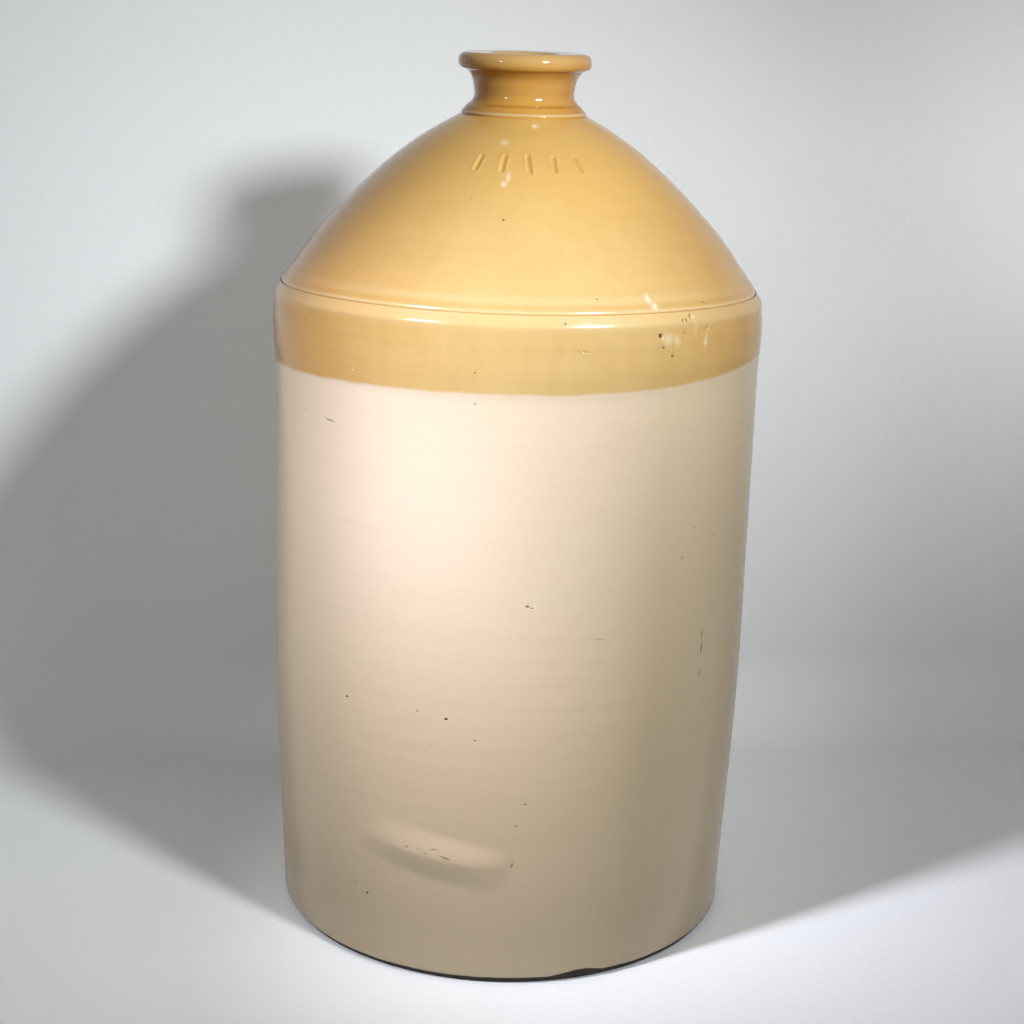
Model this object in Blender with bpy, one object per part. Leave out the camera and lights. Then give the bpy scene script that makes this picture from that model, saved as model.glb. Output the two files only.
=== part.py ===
"""Two-tone stoneware flagon: a thrown body, a domed shoulder and a necked lip, luted together.

Units are metres and +Z is up. The origin is the middle of the foot, on the ground. Every piece is turned
from an outline of (radius, height) points, so the seats of one piece are worked out from its neighbour.
"""

import math

import bmesh
import bpy
from mathutils import Matrix, Vector

# Body: a cylinder with its floor, tapering a little towards the foot
BODY_RADIUS = 0.1454
BODY_HEIGHT = 0.3928
BODY_WALL = 0.012
FLOOR = 0.016
FLOOR_CORNER = 0.014
FOOT_TAPER = 0.0062
FOOT_BEVEL_WIDTH = 0.0035
FOOT_BEVEL_HEIGHT = 0.0045
TAPER_HEIGHT = 0.142
TAPER_EASE = 0.045
FOOT_RADIUS = BODY_RADIUS - FOOT_TAPER

# Ochre band round the top of the body, swelling a little past the wall to a sloping rim
BAND_HEIGHT = 0.044
BAND_SWELL = 0.0010
RIM_WIDTH = 0.0042
RIM_DROP = 0.0056
RIM_ROUND = 0.0060

# Luting seat: the shoulder's foot stands in a rebate inside the body's rim
SEAT_DEPTH = 0.006
CLEARANCE = 0.0003
SEAT_RADIUS = BODY_RADIUS - RIM_WIDTH

# Shoulder: a cone bowed outwards above a short upright edge
SHOULDER_HEIGHT = 0.0967
SHOULDER_EDGE = 0.0028
SHOULDER_EDGE_ROUND = 0.0030
SHOULDER_BOW = 0.0076
SHOULDER_BOW_SKEW = 0.3
SHOULDER_WALL = 0.010

# Neck: a spigot in the shoulder, a bead, a waist and a rolled lip round the bore
NECK_HEIGHT = 0.0355
BORE_RADIUS = 0.019
BORE_ROUND = 0.0025
NECK_WALL = 0.0103
NECK_FLARE = 0.0075
SPIGOT_WALL = 0.0075
SPIGOT_DEPTH = 0.007
BEAD_EDGE = 0.0016
BEAD_HEIGHT = 0.0050
BEAD_LEAN = 0.0030
BEAD_GROOVE = 0.0006
WAIST_SKEW = -0.44
LIP_OVERHANG = 0.0097
LIP_HEIGHT = 0.0098
LIP_UNDERCUT = 0.0038
LIP_ROUND = 0.0046
NECK_WAIST_RADIUS = BORE_RADIUS + NECK_WALL
NECK_FOOT_RADIUS = NECK_WAIST_RADIUS + NECK_FLARE
SPIGOT_RADIUS = BORE_RADIUS + SPIGOT_WALL
LIP_RADIUS = NECK_WAIST_RADIUS + LIP_OVERHANG

# Blister: a long raised ridge on the wall near the foot, falling to the right
BLISTER_LENGTH = 0.100
BLISTER_WIDTH = 0.032
BLISTER_RISE = 0.0038
BLISTER_HEIGHT = 0.0795
BLISTER_BEARING = math.radians(-16.8)
BLISTER_TILT = math.radians(-10.8)
BLISTER_CUTS = 2

# Facets
SIDES = 64
ROUND_STEPS = 4
WALL_STEPS = 5
BOW_STEPS = 8
BAND_STEPS = 5
SHARP_ANGLE = math.radians(32)
MERGE_DISTANCE = 1e-6

# Glaze colours, linear
CREAM = (0.55, 0.43, 0.28, 1.0)
OCHRE = (0.50, 0.26, 0.065, 1.0)
GLAZE_ROUGHNESS = 0.2


def clear_scene():
    """Remove whatever objects the scene holds."""
    for item in list(bpy.data.objects):
        bpy.data.objects.remove(item, do_unlink=True)


def glaze(name, colour):
    """Make a plain glossy glaze."""
    material = bpy.data.materials.new(name)
    material.use_nodes = True
    shader = material.node_tree.nodes["Principled BSDF"]
    shader.inputs["Base Color"].default_value = colour
    shader.inputs["Roughness"].default_value = GLAZE_ROUGHNESS
    shader.inputs["Metallic"].default_value = 0.0
    return material


def bowed(start, end, rise, steps, skew=0.0):
    """Points from start to end on a parabola that stands rise to the right of the straight line.

    A skew above 0 moves the fullest part of the bow towards the end.
    """
    start = Vector(start)
    end = Vector(end)
    along = end - start
    right = Vector((along.y, -along.x)).normalized()
    points = []
    for step in range(steps + 1):
        part = step / steps
        bow = 4.0 * part * (1.0 - part) * (1.0 + skew * (2.0 * part - 1.0))
        points.append(start + along * part + right * (rise * bow))
    return points


def rounded(before, corner, after, radius):
    """An arc of the given radius in place of a corner, from its first tangent point to its second."""
    corner = Vector(corner)
    towards_start = (Vector(before) - corner).normalized()
    towards_end = (Vector(after) - corner).normalized()
    half_angle = towards_start.angle(towards_end) / 2.0
    reach = radius / math.tan(half_angle)
    centre = corner + (towards_start + towards_end).normalized() * (radius / math.sin(half_angle))
    first = corner + towards_start * reach - centre
    last = corner + towards_end * reach - centre
    points = []
    for step in range(ROUND_STEPS + 1):
        part = step / ROUND_STEPS
        points.append(centre + first.slerp(last, part) * radius)
    return points


def eased(before, corner, after, reach):
    """A soft bend in place of a corner: a parabola that leaves and meets its sides at the given reach."""
    corner = Vector(corner)
    first = corner + (Vector(before) - corner).normalized() * reach
    last = corner + (Vector(after) - corner).normalized() * reach
    points = []
    for step in range(ROUND_STEPS + 1):
        part = step / ROUND_STEPS
        points.append(first.lerp(corner, part).lerp(corner.lerp(last, part), part))
    return points


def evenly(start, end, steps):
    """Points between start and end, without either."""
    start = Vector(start)
    end = Vector(end)
    return [start.lerp(end, step / steps) for step in range(1, steps)]


def turned(outline, closed):
    """Spin an outline about the Z axis into a closed body with its faces pointing out."""
    bm = bmesh.new()
    verts = [bm.verts.new((point[0], 0.0, point[1])) for point in outline]
    edges = [bm.edges.new(pair) for pair in zip(verts, verts[1:])]
    if closed:
        edges.append(bm.edges.new((verts[-1], verts[0])))
    bmesh.ops.spin(
        bm,
        geom=verts + edges,
        cent=(0.0, 0.0, 0.0),
        axis=(0.0, 0.0, 1.0),
        angle=math.tau,
        steps=SIDES,
        use_merge=True,
    )
    bmesh.ops.remove_doubles(bm, verts=bm.verts[:], dist=MERGE_DISTANCE)
    bmesh.ops.recalc_face_normals(bm, faces=bm.faces[:])
    return bm


def place(name, bm, materials, parent):
    """Turn a finished bmesh into a smooth-shaded object under the parent."""
    mesh = bpy.data.meshes.new(name)
    bm.to_mesh(mesh)
    bm.free()
    for material in materials:
        mesh.materials.append(material)
    mesh.shade_smooth()
    mesh.set_sharp_from_angle(angle=SHARP_ANGLE)
    item = bpy.data.objects.new(name, mesh)
    item.parent = parent
    bpy.context.scene.collection.objects.link(item)
    return item


def body_outline():
    """The body from the middle of its underside, up the wall and rim, and down to the middle of the floor."""
    foot_edge = (FOOT_RADIUS - FOOT_BEVEL_WIDTH, 0.0)
    foot_top = (FOOT_RADIUS, FOOT_BEVEL_HEIGHT)
    taper_top = (BODY_RADIUS, TAPER_HEIGHT)
    band_foot = (BODY_RADIUS, BODY_HEIGHT - BAND_HEIGHT)
    rebate = SEAT_RADIUS + CLEARANCE
    rim_top = (rebate, BODY_HEIGHT)
    rim_edge = (BODY_RADIUS, BODY_HEIGHT - RIM_DROP)
    ledge = BODY_HEIGHT - SEAT_DEPTH
    inner_top = (BODY_RADIUS - BODY_WALL, ledge)
    inner_bend = (BODY_RADIUS - BODY_WALL, TAPER_HEIGHT)
    inner_foot = (FOOT_RADIUS - BODY_WALL, FLOOR)

    rim_arc = rounded(band_foot, rim_edge, rim_top, RIM_ROUND)
    bend = eased(foot_top, taper_top, band_foot, TAPER_EASE)
    points = [(0.0, 0.0), foot_edge, foot_top]
    points += evenly(foot_top, bend[0], WALL_STEPS)
    points += bend
    points += evenly(bend[-1], band_foot, WALL_STEPS)
    points += bowed(band_foot, rim_arc[0], BAND_SWELL, BAND_STEPS)
    points += rim_arc[1:]
    points += [rim_top, (rebate, ledge), inner_top]
    points += eased(inner_top, inner_bend, inner_foot, TAPER_EASE)
    points += rounded(inner_bend, inner_foot, (0.0, FLOOR), FLOOR_CORNER)
    points.append((0.0, FLOOR))
    return points


def shoulder_outline():
    """The dome's section, out and up its outer side, across the neck seat and down its inner side."""
    foot = BODY_HEIGHT - SEAT_DEPTH + CLEARANCE
    top = BODY_HEIGHT + SHOULDER_HEIGHT
    slope = math.atan2(SHOULDER_HEIGHT, SEAT_RADIUS - NECK_FOOT_RADIUS)
    level_wall = SHOULDER_WALL / math.sin(slope)
    socket = SPIGOT_RADIUS + CLEARANCE
    inner_foot = (SEAT_RADIUS - level_wall, foot)
    inner_top = (socket, top - SPIGOT_DEPTH - CLEARANCE)

    edge_foot = (SEAT_RADIUS, foot)
    edge_top = (SEAT_RADIUS, BODY_HEIGHT + SHOULDER_EDGE)
    side = bowed(edge_top, (NECK_FOOT_RADIUS, top), SHOULDER_BOW, BOW_STEPS, SHOULDER_BOW_SKEW)
    points = [edge_foot]
    points += rounded(edge_foot, edge_top, side[1], SHOULDER_EDGE_ROUND)
    points += side[1:]
    points.append((socket, top))
    points += bowed(inner_top, inner_foot, -SHOULDER_BOW, BOW_STEPS, -SHOULDER_BOW_SKEW)
    return points


def neck_outline():
    """The neck's section, up from the spigot over the bead, waist and lip, and down the bore."""
    seat = BODY_HEIGHT + SHOULDER_HEIGHT + CLEARANCE
    spigot_foot = seat - SPIGOT_DEPTH
    bead_top = seat + BEAD_HEIGHT
    top = BODY_HEIGHT + SHOULDER_HEIGHT + NECK_HEIGHT
    lip_foot = top - LIP_HEIGHT
    sweep = LIP_RADIUS - LIP_UNDERCUT
    bead = (NECK_FOOT_RADIUS - BEAD_LEAN, bead_top)
    groove = (bead[0] - BEAD_GROOVE, bead_top + BEAD_GROOVE)
    waist = (groove[0] + sweep) / 2.0 - NECK_WAIST_RADIUS

    points = [(BORE_RADIUS, spigot_foot), (SPIGOT_RADIUS, spigot_foot), (SPIGOT_RADIUS, seat)]
    points += [(NECK_FOOT_RADIUS, seat), (NECK_FOOT_RADIUS, seat + BEAD_EDGE), bead]
    points += bowed(groove, (sweep, lip_foot), -waist, BOW_STEPS, WAIST_SKEW)
    points += rounded((sweep, lip_foot), (LIP_RADIUS, lip_foot), (LIP_RADIUS, top), LIP_UNDERCUT)[1:]
    points += rounded((LIP_RADIUS, lip_foot), (LIP_RADIUS, top), (BORE_RADIUS, top), LIP_ROUND)
    points += rounded((LIP_RADIUS, top), (BORE_RADIUS, top), (BORE_RADIUS, spigot_foot), BORE_ROUND)
    return points


def blister_place(point):
    """Where a point of the wall lies on the blister: along and across it, each 1 at the edge."""
    bearing = math.atan2(point.x, -point.y)
    flat = Vector((math.hypot(point.x, point.y) * (bearing - BLISTER_BEARING), point.z - BLISTER_HEIGHT))
    turned_flat = Matrix.Rotation(-BLISTER_TILT, 2) @ flat
    return turned_flat.x / (BLISTER_LENGTH / 2.0), turned_flat.y / (BLISTER_WIDTH / 2.0)


def faces_out(face):
    """Whether a face belongs to the outside of the wall."""
    centre = face.calc_center_median()
    return face.normal.x * centre.x + face.normal.y * centre.y > 0.0


def raise_blister(bm):
    """Refine the outer wall under the blister and push it out, highest along its middle."""
    patch = []
    for face in bm.faces:
        spots = [blister_place(vert.co) for vert in face.verts]
        if faces_out(face) and near_blister(spots):
            patch.append(face)
    edges = {edge for face in patch for edge in face.edges}
    bmesh.ops.subdivide_edges(bm, edges=list(edges), cuts=BLISTER_CUTS, use_grid_fill=True)
    bm.normal_update()
    wall = {vert for face in bm.faces if faces_out(face) for vert in face.verts}
    for vert in wall:
        along, across = blister_place(vert.co)
        if abs(along) >= 1.0 or abs(across) >= 1.0:
            continue
        level = math.hypot(vert.co.x, vert.co.y)
        rise = BLISTER_RISE * (1.0 - along ** 2) ** 2 * (1.0 - across ** 2) ** 2
        vert.co.x *= (level + rise) / level
        vert.co.y *= (level + rise) / level


def near_blister(spots):
    """Whether a face with its corners at these spots may reach the blister."""
    alongs = [along for along, across in spots]
    acrosses = [across for along, across in spots]
    return min(alongs) < 1.0 and max(alongs) > -1.0 and min(acrosses) < 1.0 and max(acrosses) > -1.0


def colour_band(mesh):
    """Give the faces of the ochre band and the rim the body's second glaze."""
    band_foot = BODY_HEIGHT - BAND_HEIGHT
    for face in mesh.polygons:
        level = math.hypot(face.center.x, face.center.y)
        if face.center.z > band_foot and level > BODY_RADIUS - BODY_WALL / 2.0:
            face.material_index = 1


def build():
    """Make the three thrown pieces and stand them under one empty."""
    clear_scene()
    cream = glaze("cream_glaze", CREAM)
    ochre = glaze("ochre_glaze", OCHRE)
    lip_ochre = glaze("lip_ochre_glaze", OCHRE)
    flagon = bpy.data.objects.new("flagon", None)
    bpy.context.scene.collection.objects.link(flagon)

    body = turned(body_outline(), closed=False)
    raise_blister(body)
    body_item = place("body", body, (cream, ochre), flagon)
    colour_band(body_item.data)
    place("shoulder", turned(shoulder_outline(), closed=True), (ochre,), flagon)
    place("neck", turned(neck_outline(), closed=True), (lip_ochre,), flagon)


build()
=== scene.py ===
"""Looks of a two-tone stoneware flagon: fine turned surfaces, their glazes, the stage, lamps and camera.

Units are metres and +Z is up. A bearing is the angle round the axis from the side that faces the camera
(-Y), growing towards +X. Each piece is a profile of radius and height carried round the axis on a grid of
rings and bearings, with its ridges, dents and throwing marks added along the normal of the surface.
"""

import functools
import logging
import math
from dataclasses import dataclass
from enum import Enum
from typing import Any, Sequence, Union

import bpy
import numpy as np
from mathutils import Matrix, Vector


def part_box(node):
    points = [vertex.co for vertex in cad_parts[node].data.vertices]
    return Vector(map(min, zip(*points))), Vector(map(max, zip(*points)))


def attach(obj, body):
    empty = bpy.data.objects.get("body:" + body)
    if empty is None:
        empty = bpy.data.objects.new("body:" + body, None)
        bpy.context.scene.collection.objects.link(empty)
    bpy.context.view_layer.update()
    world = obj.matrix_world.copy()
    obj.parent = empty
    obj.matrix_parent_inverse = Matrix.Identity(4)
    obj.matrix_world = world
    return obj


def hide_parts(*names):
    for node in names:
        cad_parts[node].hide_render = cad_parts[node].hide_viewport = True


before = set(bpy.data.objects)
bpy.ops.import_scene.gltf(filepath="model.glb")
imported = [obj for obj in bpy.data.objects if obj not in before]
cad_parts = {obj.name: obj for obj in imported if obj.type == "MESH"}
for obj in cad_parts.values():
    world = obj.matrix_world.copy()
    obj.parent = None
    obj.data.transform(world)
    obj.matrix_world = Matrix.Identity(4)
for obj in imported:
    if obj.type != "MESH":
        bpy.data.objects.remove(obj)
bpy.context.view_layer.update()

log = logging.getLogger("flagon")

ROOT = "root"
SHARP_ANGLE = math.radians(40.0)
SAME_POINT = 1e-7
FINE_BEARINGS = 7201
WANDER = 0.0016
WANDER_SIZE = (0.0035, 0.0035, 0.0035)
PRESSED = "pressed"

BODY_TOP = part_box("body")[1].z
SHOULDER_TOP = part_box("shoulder")[1].z
LIP_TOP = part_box("neck")[1].z
BAND_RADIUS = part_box("body")[1].x
SEAT_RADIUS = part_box("shoulder")[1].x
LIP_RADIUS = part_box("neck")[1].x

Pair = tuple[float, float]
Triple = tuple[float, float, float]
Colour = Triple


class Slot(Enum):
    """The record's material slots."""

    CREAM = "cream_glaze"
    OCHRE = "ochre_glaze"


class Skin(Enum):
    """The material slots of a piece's mesh, in order."""

    OUTSIDE = 0
    INSIDE = 1
    UNDERSIDE = 2


class Tone(Enum):
    """What a mark does to the glaze round it, and how much of it is at full strength."""

    DARK = 0.45
    PALE = 0.0


# Profiles and turned surfaces


class Outline:
    """A turned profile of (radius, height) points, grown one stretch at a time."""

    def __init__(self) -> None:
        """Start with no points."""
        self._stretches: list[np.ndarray] = []
        self._skins: list[np.ndarray] = []
        self.skin = Skin.OUTSIDE

    def _add(self, points: np.ndarray) -> None:
        """Append a stretch of points, under the skin in use."""
        self._stretches.append(points)
        self._skins.append(np.full(len(points), self.skin.value))

    def line(self, start: Pair, end: Pair, spacing: float) -> None:
        """A straight stretch.

        Args:
            start: first (radius, height).
            end: last (radius, height).
            spacing: about how far apart its rings are.
        """
        first = np.array(start)
        last = np.array(end)
        part = steps_between(math.dist(start, end), spacing)
        self._add(first + part * (last - first))

    def bow(
        self, start: Pair, end: Pair, rise: float, spacing: float, skew: float = 0.0, fullness: float = 2.0
    ) -> None:
        """A bow from start to end, rise to the right of the straight line at its fullest.

        The bow is (1 - |t|^fullness)(1 + skew t) of the rise, with t from -1 to 1. A skew above 0 moves its
        fullest part towards the end. A fullness of 2 is a parabola, and more is straighter between its ends.

        Args:
            start: first (radius, height).
            end: last (radius, height).
            rise: how far the middle stands from the straight line.
            spacing: about how far apart its rings are.
            skew: how far the fullest part moves towards the end.
            fullness: the power of t.
        """
        first = np.array(start)
        along = np.array(end) - first
        right = np.array((along[1], -along[0])) / np.hypot(*along)
        part = steps_between(math.dist(start, end), spacing)
        place = 2.0 * part - 1.0
        share = (1.0 - np.abs(place) ** fullness) * (1.0 + skew * place)
        self._add(first + part * along + rise * right * share)

    def arc(self, before: Pair, corner: Pair, after: Pair, radius: float, spacing: float) -> None:
        """An arc in place of a corner, from one tangent point to the other.

        Args:
            before: a point on the side that comes in.
            corner: the corner to round.
            after: a point on the side that goes out.
            radius: the arc's radius.
            spacing: about how far apart its rings are.
        """
        first, last = tangents(before, corner, after, radius)
        inwards = unit(np.add(first, last) / 2.0 - np.array(corner))
        reach = math.dist(first, corner)
        centre = np.array(corner) + inwards * math.hypot(radius, reach)
        spoke = np.array(first) - centre
        other = np.array(last) - centre
        turn = math.atan2(spoke[0] * other[1] - spoke[1] * other[0], float(spoke @ other))
        angle = math.atan2(spoke[1], spoke[0]) + turn * steps_between(abs(turn) * radius, spacing)
        self._add(centre + radius * np.hstack((np.cos(angle), np.sin(angle))))

    def bend(self, before: Pair, corner: Pair, after: Pair, reach: float, spacing: float) -> None:
        """A soft bend in place of a corner: a parabola that meets each side at the given reach.

        Args:
            before: a point on the side that comes in.
            corner: the corner to soften.
            after: a point on the side that goes out.
            reach: how far from the corner the bend begins and ends.
            spacing: about how far apart its rings are.
        """
        first = np.array(towards(corner, before, reach))
        last = np.array(towards(corner, after, reach))
        part = steps_between(2.0 * reach, spacing)
        middle = np.array(corner) * 2.0 * part * (1.0 - part)
        self._add(first * (1.0 - part) ** 2 + middle + last * part ** 2)

    def follow(self, points: np.ndarray, spacing: np.ndarray) -> None:
        """A stretch along close points, with rings as far apart as the spacing at each of them.

        Args:
            points: (radius, height) points close together.
            spacing: how far apart the rings are at each point.
        """
        strides = np.hypot(*np.diff(points, axis=0).T) / spacing[1:]
        count = np.concatenate(((0.0,), np.cumsum(strides)))
        wanted = np.linspace(0.0, count[-1], math.ceil(count[-1]) + 1)
        self._add(np.stack([np.interp(wanted, count, column) for column in points.T], axis=1))

    def finish(self) -> tuple[np.ndarray, np.ndarray]:
        """Join the stretches.

        Returns:
            The (radius, height) points, with repeated ones dropped, and each one's skin.
        """
        points = np.concatenate(self._stretches)
        skins = np.concatenate(self._skins)
        apart = np.hypot(*np.diff(points, axis=0).T) > SAME_POINT
        keep = np.concatenate(((True,), apart))
        return points[keep], skins[keep]


def unit(vector: np.ndarray) -> np.ndarray:
    """A vector scaled to length 1."""
    return vector / np.linalg.norm(vector)


def towards(start: Pair, target: Pair, distance: float) -> Pair:
    """The point at a distance from start on the way to the target."""
    step = unit(np.subtract(target, start)) * distance
    return start[0] + float(step[0]), start[1] + float(step[1])


def tangents(before: Pair, corner: Pair, after: Pair, radius: float) -> tuple[Pair, Pair]:
    """Where an arc in place of a corner begins and ends.

    Args:
        before: a point on the side that comes in.
        corner: the corner to round.
        after: a point on the side that goes out.
        radius: the arc's radius.

    Returns:
        The first and the last point of the arc.
    """
    sides = unit(np.subtract(before, corner)) @ unit(np.subtract(after, corner))
    reach = radius / math.tan(math.acos(float(np.clip(sides, -1.0, 1.0))) / 2.0)
    return towards(corner, before, reach), towards(corner, after, reach)


def steps_between(length: float, spacing: float) -> np.ndarray:
    """Evenly spread parts from 0 to 1, as a column, for a stretch of the given length."""
    return np.linspace(0.0, 1.0, max(1, math.ceil(length / spacing)) + 1)[:, None]


def fade(distance: np.ndarray, reach: float) -> np.ndarray:
    """1 at no distance, falling smoothly to 0 at the reach: (1 - (d / reach)^2)^2."""
    return np.clip(1.0 - (distance / reach) ** 2, 0.0, None) ** 2


@dataclass(frozen=True)
class Focus:
    """A stretch of bearings where the grid is finer."""

    bearing: float
    width: float
    gain: float


def spread_bearings(count: int, focuses: Sequence[Focus]) -> np.ndarray:
    """Bearings once round the axis, closer together at each focus.

    The density is 1 plus gain * exp(-((bearing - centre) / width)^2) for each focus. The bearings are read
    from the inverse of its running sum.

    Args:
        count: how many bearings.
        focuses: where the grid is finer, in degrees.

    Returns:
        The bearings in radians, from the back, round the front, to just before the back again.
    """
    fine = np.linspace(-180.0, 180.0, FINE_BEARINGS)
    density = np.ones_like(fine)
    for focus in focuses:
        density += focus.gain * np.exp(-(((fine - focus.bearing) / focus.width) ** 2))
    running = np.concatenate(((0.0,), np.cumsum(density[:-1])))
    wanted = np.arange(count) / count * running[-1]
    return np.radians(np.interp(wanted, running, fine))


class TurnedGrid:
    """A profile carried round the axis: (radius sin b, -radius cos b, height) at each ring and bearing b."""

    def __init__(self, outline: Outline, bearings: np.ndarray, looped: bool) -> None:
        """Lay out the grid.

        Args:
            outline: the profile, from axis to axis or, if looped, once round a ring's section.
            bearings: the bearings of the grid, in radians.
            looped: whether the profile's last point joins its first.
        """
        points, self.skins = outline.finish()
        if looped and np.hypot(*(points[0] - points[-1])) < SAME_POINT:
            points = points[:-1]
            self.skins = self.skins[:-1]
        self.looped = looped
        self.bearing = bearings[None, :]
        self.radius = points[:, :1]
        self.height = points[:, 1:]
        if looped:
            travel = np.roll(points, -1, axis=0) - np.roll(points, 1, axis=0)
        else:
            travel = np.gradient(points, axis=0)
        travel /= np.linalg.norm(travel, axis=1, keepdims=True)
        self.normal = np.stack((travel[:, 1], -travel[:, 0]), axis=1)
        self.path = np.concatenate(((0.0,), np.cumsum(np.hypot(*np.diff(points, axis=0).T))))[:, None]
        self.relief = np.zeros((len(points), bearings.size))
        self.sag = np.zeros_like(self.relief)

    @property
    def outside(self) -> np.ndarray:
        """1 on the rings that belong to the outside, 0 on the rest."""
        return (self.skins == Skin.OUTSIDE.value)[:, None].astype(float)

    def arc_from(self, bearing: float) -> np.ndarray:
        """Distance round the surface from a bearing in degrees, on the grid."""
        turn = self.bearing - math.radians(bearing)
        return self.radius * (np.mod(turn + math.pi, math.tau) - math.pi)

    def path_at(self, height: float) -> float:
        """Distance along the profile to where its outside reaches a height."""
        outer = self.outside[:, 0] > 0.0
        return float(np.interp(height, self.height[outer, 0], self.path[outer, 0]))

    def _points(self) -> np.ndarray:
        """The grid's points, pushed along the profile's normal by the relief and let down by the sag.

        Returns:
            The x, y and z of each ring and bearing.
        """
        radius = self.radius + self.relief * self.normal[:, :1]
        height = self.height + self.relief * self.normal[:, 1:] - self.sag
        return np.stack((radius * np.sin(self.bearing), -radius * np.cos(self.bearing), height), axis=-1)

    def mesh(self, name: str, materials: Sequence[bpy.types.Material]) -> bpy.types.Object:
        """Make the grid a closed, smooth-shaded object.

        A face runs round the axis first and then along the profile, which points it out. The first and last
        points of a profile that isn't looped lie on the axis, so their faces close there in a fan.

        Args:
            name: the object's name.
            materials: one for each skin that the profile uses.

        Returns:
            The object, linked to the scene.
        """
        rings, turns = self.relief.shape
        points = self._points().reshape(-1, 3)
        index = np.arange(rings * turns).reshape(rings, turns)
        if self.looped:
            lower = index
            upper = np.roll(index, -1, axis=0)
            skins = np.roll(self.skins, -1)
        else:
            points[index[0]] = (0.0, 0.0, self.height[0, 0])
            points[index[-1]] = (0.0, 0.0, self.height[-1, 0])
            index[0] = index[0, 0]
            index[-1] = index[-1, 0]
            lower = index[:-1]
            upper = index[1:]
            skins = self.skins[1:]
        corners = (lower, np.roll(lower, -1, axis=1), np.roll(upper, -1, axis=1), upper)
        faces = np.stack(corners, axis=-1).reshape(-1, 4)
        item = mesh_object(name, points, faces, np.repeat(skins, turns))
        for material in materials:
            item.data.materials.append(material)
        log.info("%s: %d rings, %d bearings", name, rings, turns)
        return item


def mesh_object(name: str, points: np.ndarray, faces: np.ndarray, skins: np.ndarray) -> bpy.types.Object:
    """Put arrays of points and four-cornered faces into a mesh.

    A face with two equal corners becomes a triangle, and points that no face uses are dropped.

    Args:
        name: the object's name.
        points: one row of x, y and z for each point.
        faces: one row of four point numbers for each face.
        skins: each face's material number.

    Returns:
        The object, linked to the scene.
    """
    used, flat = np.unique(faces.ravel(), return_inverse=True)
    corners = flat.reshape(-1, 4)
    keep = corners != np.roll(corners, 1, axis=1)
    sizes = keep.sum(axis=1)
    mesh = bpy.data.meshes.new(name)
    mesh.vertices.add(used.size)
    mesh.vertices.foreach_set("co", points[used].astype(np.float32).ravel())
    mesh.loops.add(int(sizes.sum()))
    mesh.loops.foreach_set("vertex_index", corners[keep].astype(np.int32))
    mesh.polygons.add(len(faces))
    mesh.polygons.foreach_set("loop_start", (np.cumsum(sizes) - sizes).astype(np.int32))
    mesh.polygons.foreach_set("material_index", skins.astype(np.int32))
    mesh.update(calc_edges=True)
    mesh.shade_smooth()
    mesh.set_sharp_from_angle(angle=SHARP_ANGLE)
    item = bpy.data.objects.new(name, mesh)
    bpy.context.scene.collection.objects.link(item)
    return item


# Relief of the clay


@dataclass(frozen=True)
class ThrowingRings:
    """Shallow spiral ridges left by the potter's fingers.

    Two sine waves of unlike pitch climb the wall, each one pitch to a turn, swaying a little and stronger on
    one side. The wobble adds a slow wave of two and three lobes round the axis. The shares and phases of the
    waves are chosen so that no two turns match.
    """

    pitch: float
    depth: float
    fine_pitch: float
    fine_depth: float
    wobble: float = 0.0

    def lift(self, grid: TurnedGrid) -> np.ndarray:
        """How far the rings raise each point of the grid's outside.

        Args:
            grid: the surface.

        Returns:
            The rise at each ring and bearing.
        """
        turn = grid.bearing
        sway = 0.6 * np.sin(turn + 0.7) + 0.35 * np.sin(2.0 * turn + grid.path * 31.0)
        coarse = np.sin(math.tau * grid.path / self.pitch + turn + sway)
        fine = np.sin(math.tau * grid.path / self.fine_pitch - turn + 0.5 * sway)
        strength = 0.7 + 0.3 * np.sin(turn - 0.4) + 0.25 * np.sin(grid.path * 23.0 + 1.0)
        lobes = self.wobble * (np.sin(2.0 * turn + 0.5) + 0.5 * np.sin(3.0 * turn + grid.height * 9.0))
        return grid.outside * (strength * (self.depth * coarse + self.fine_depth * fine) + lobes)


@dataclass(frozen=True)
class JointSag:
    """How the joint of body and shoulder sank on either side in the kiln, by sin^4 of the bearing."""

    drop: float = 0.0034
    below: float = 0.020
    above: float = 0.030

    def drops(self, grid: TurnedGrid) -> np.ndarray:
        """How far each point sinks: drop * sin(bearing)^4, fading out a reach below and above the joint.

        Args:
            grid: the surface.

        Returns:
            The drop at each ring and bearing.
        """
        away = grid.height - BODY_TOP
        near = fade(np.clip(away, 0.0, None), self.above) * fade(np.clip(-away, 0.0, None), self.below)
        return self.drop * near * np.sin(grid.bearing) ** 4

    def level(self, tree: "GlazeTree") -> "Shade":
        """Height as it was before the joint sank, for bands of colour that follow the joint."""
        square = tree.bearing.sine() * tree.bearing.sine()
        return tree.height + square * square * self.drop


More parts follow.
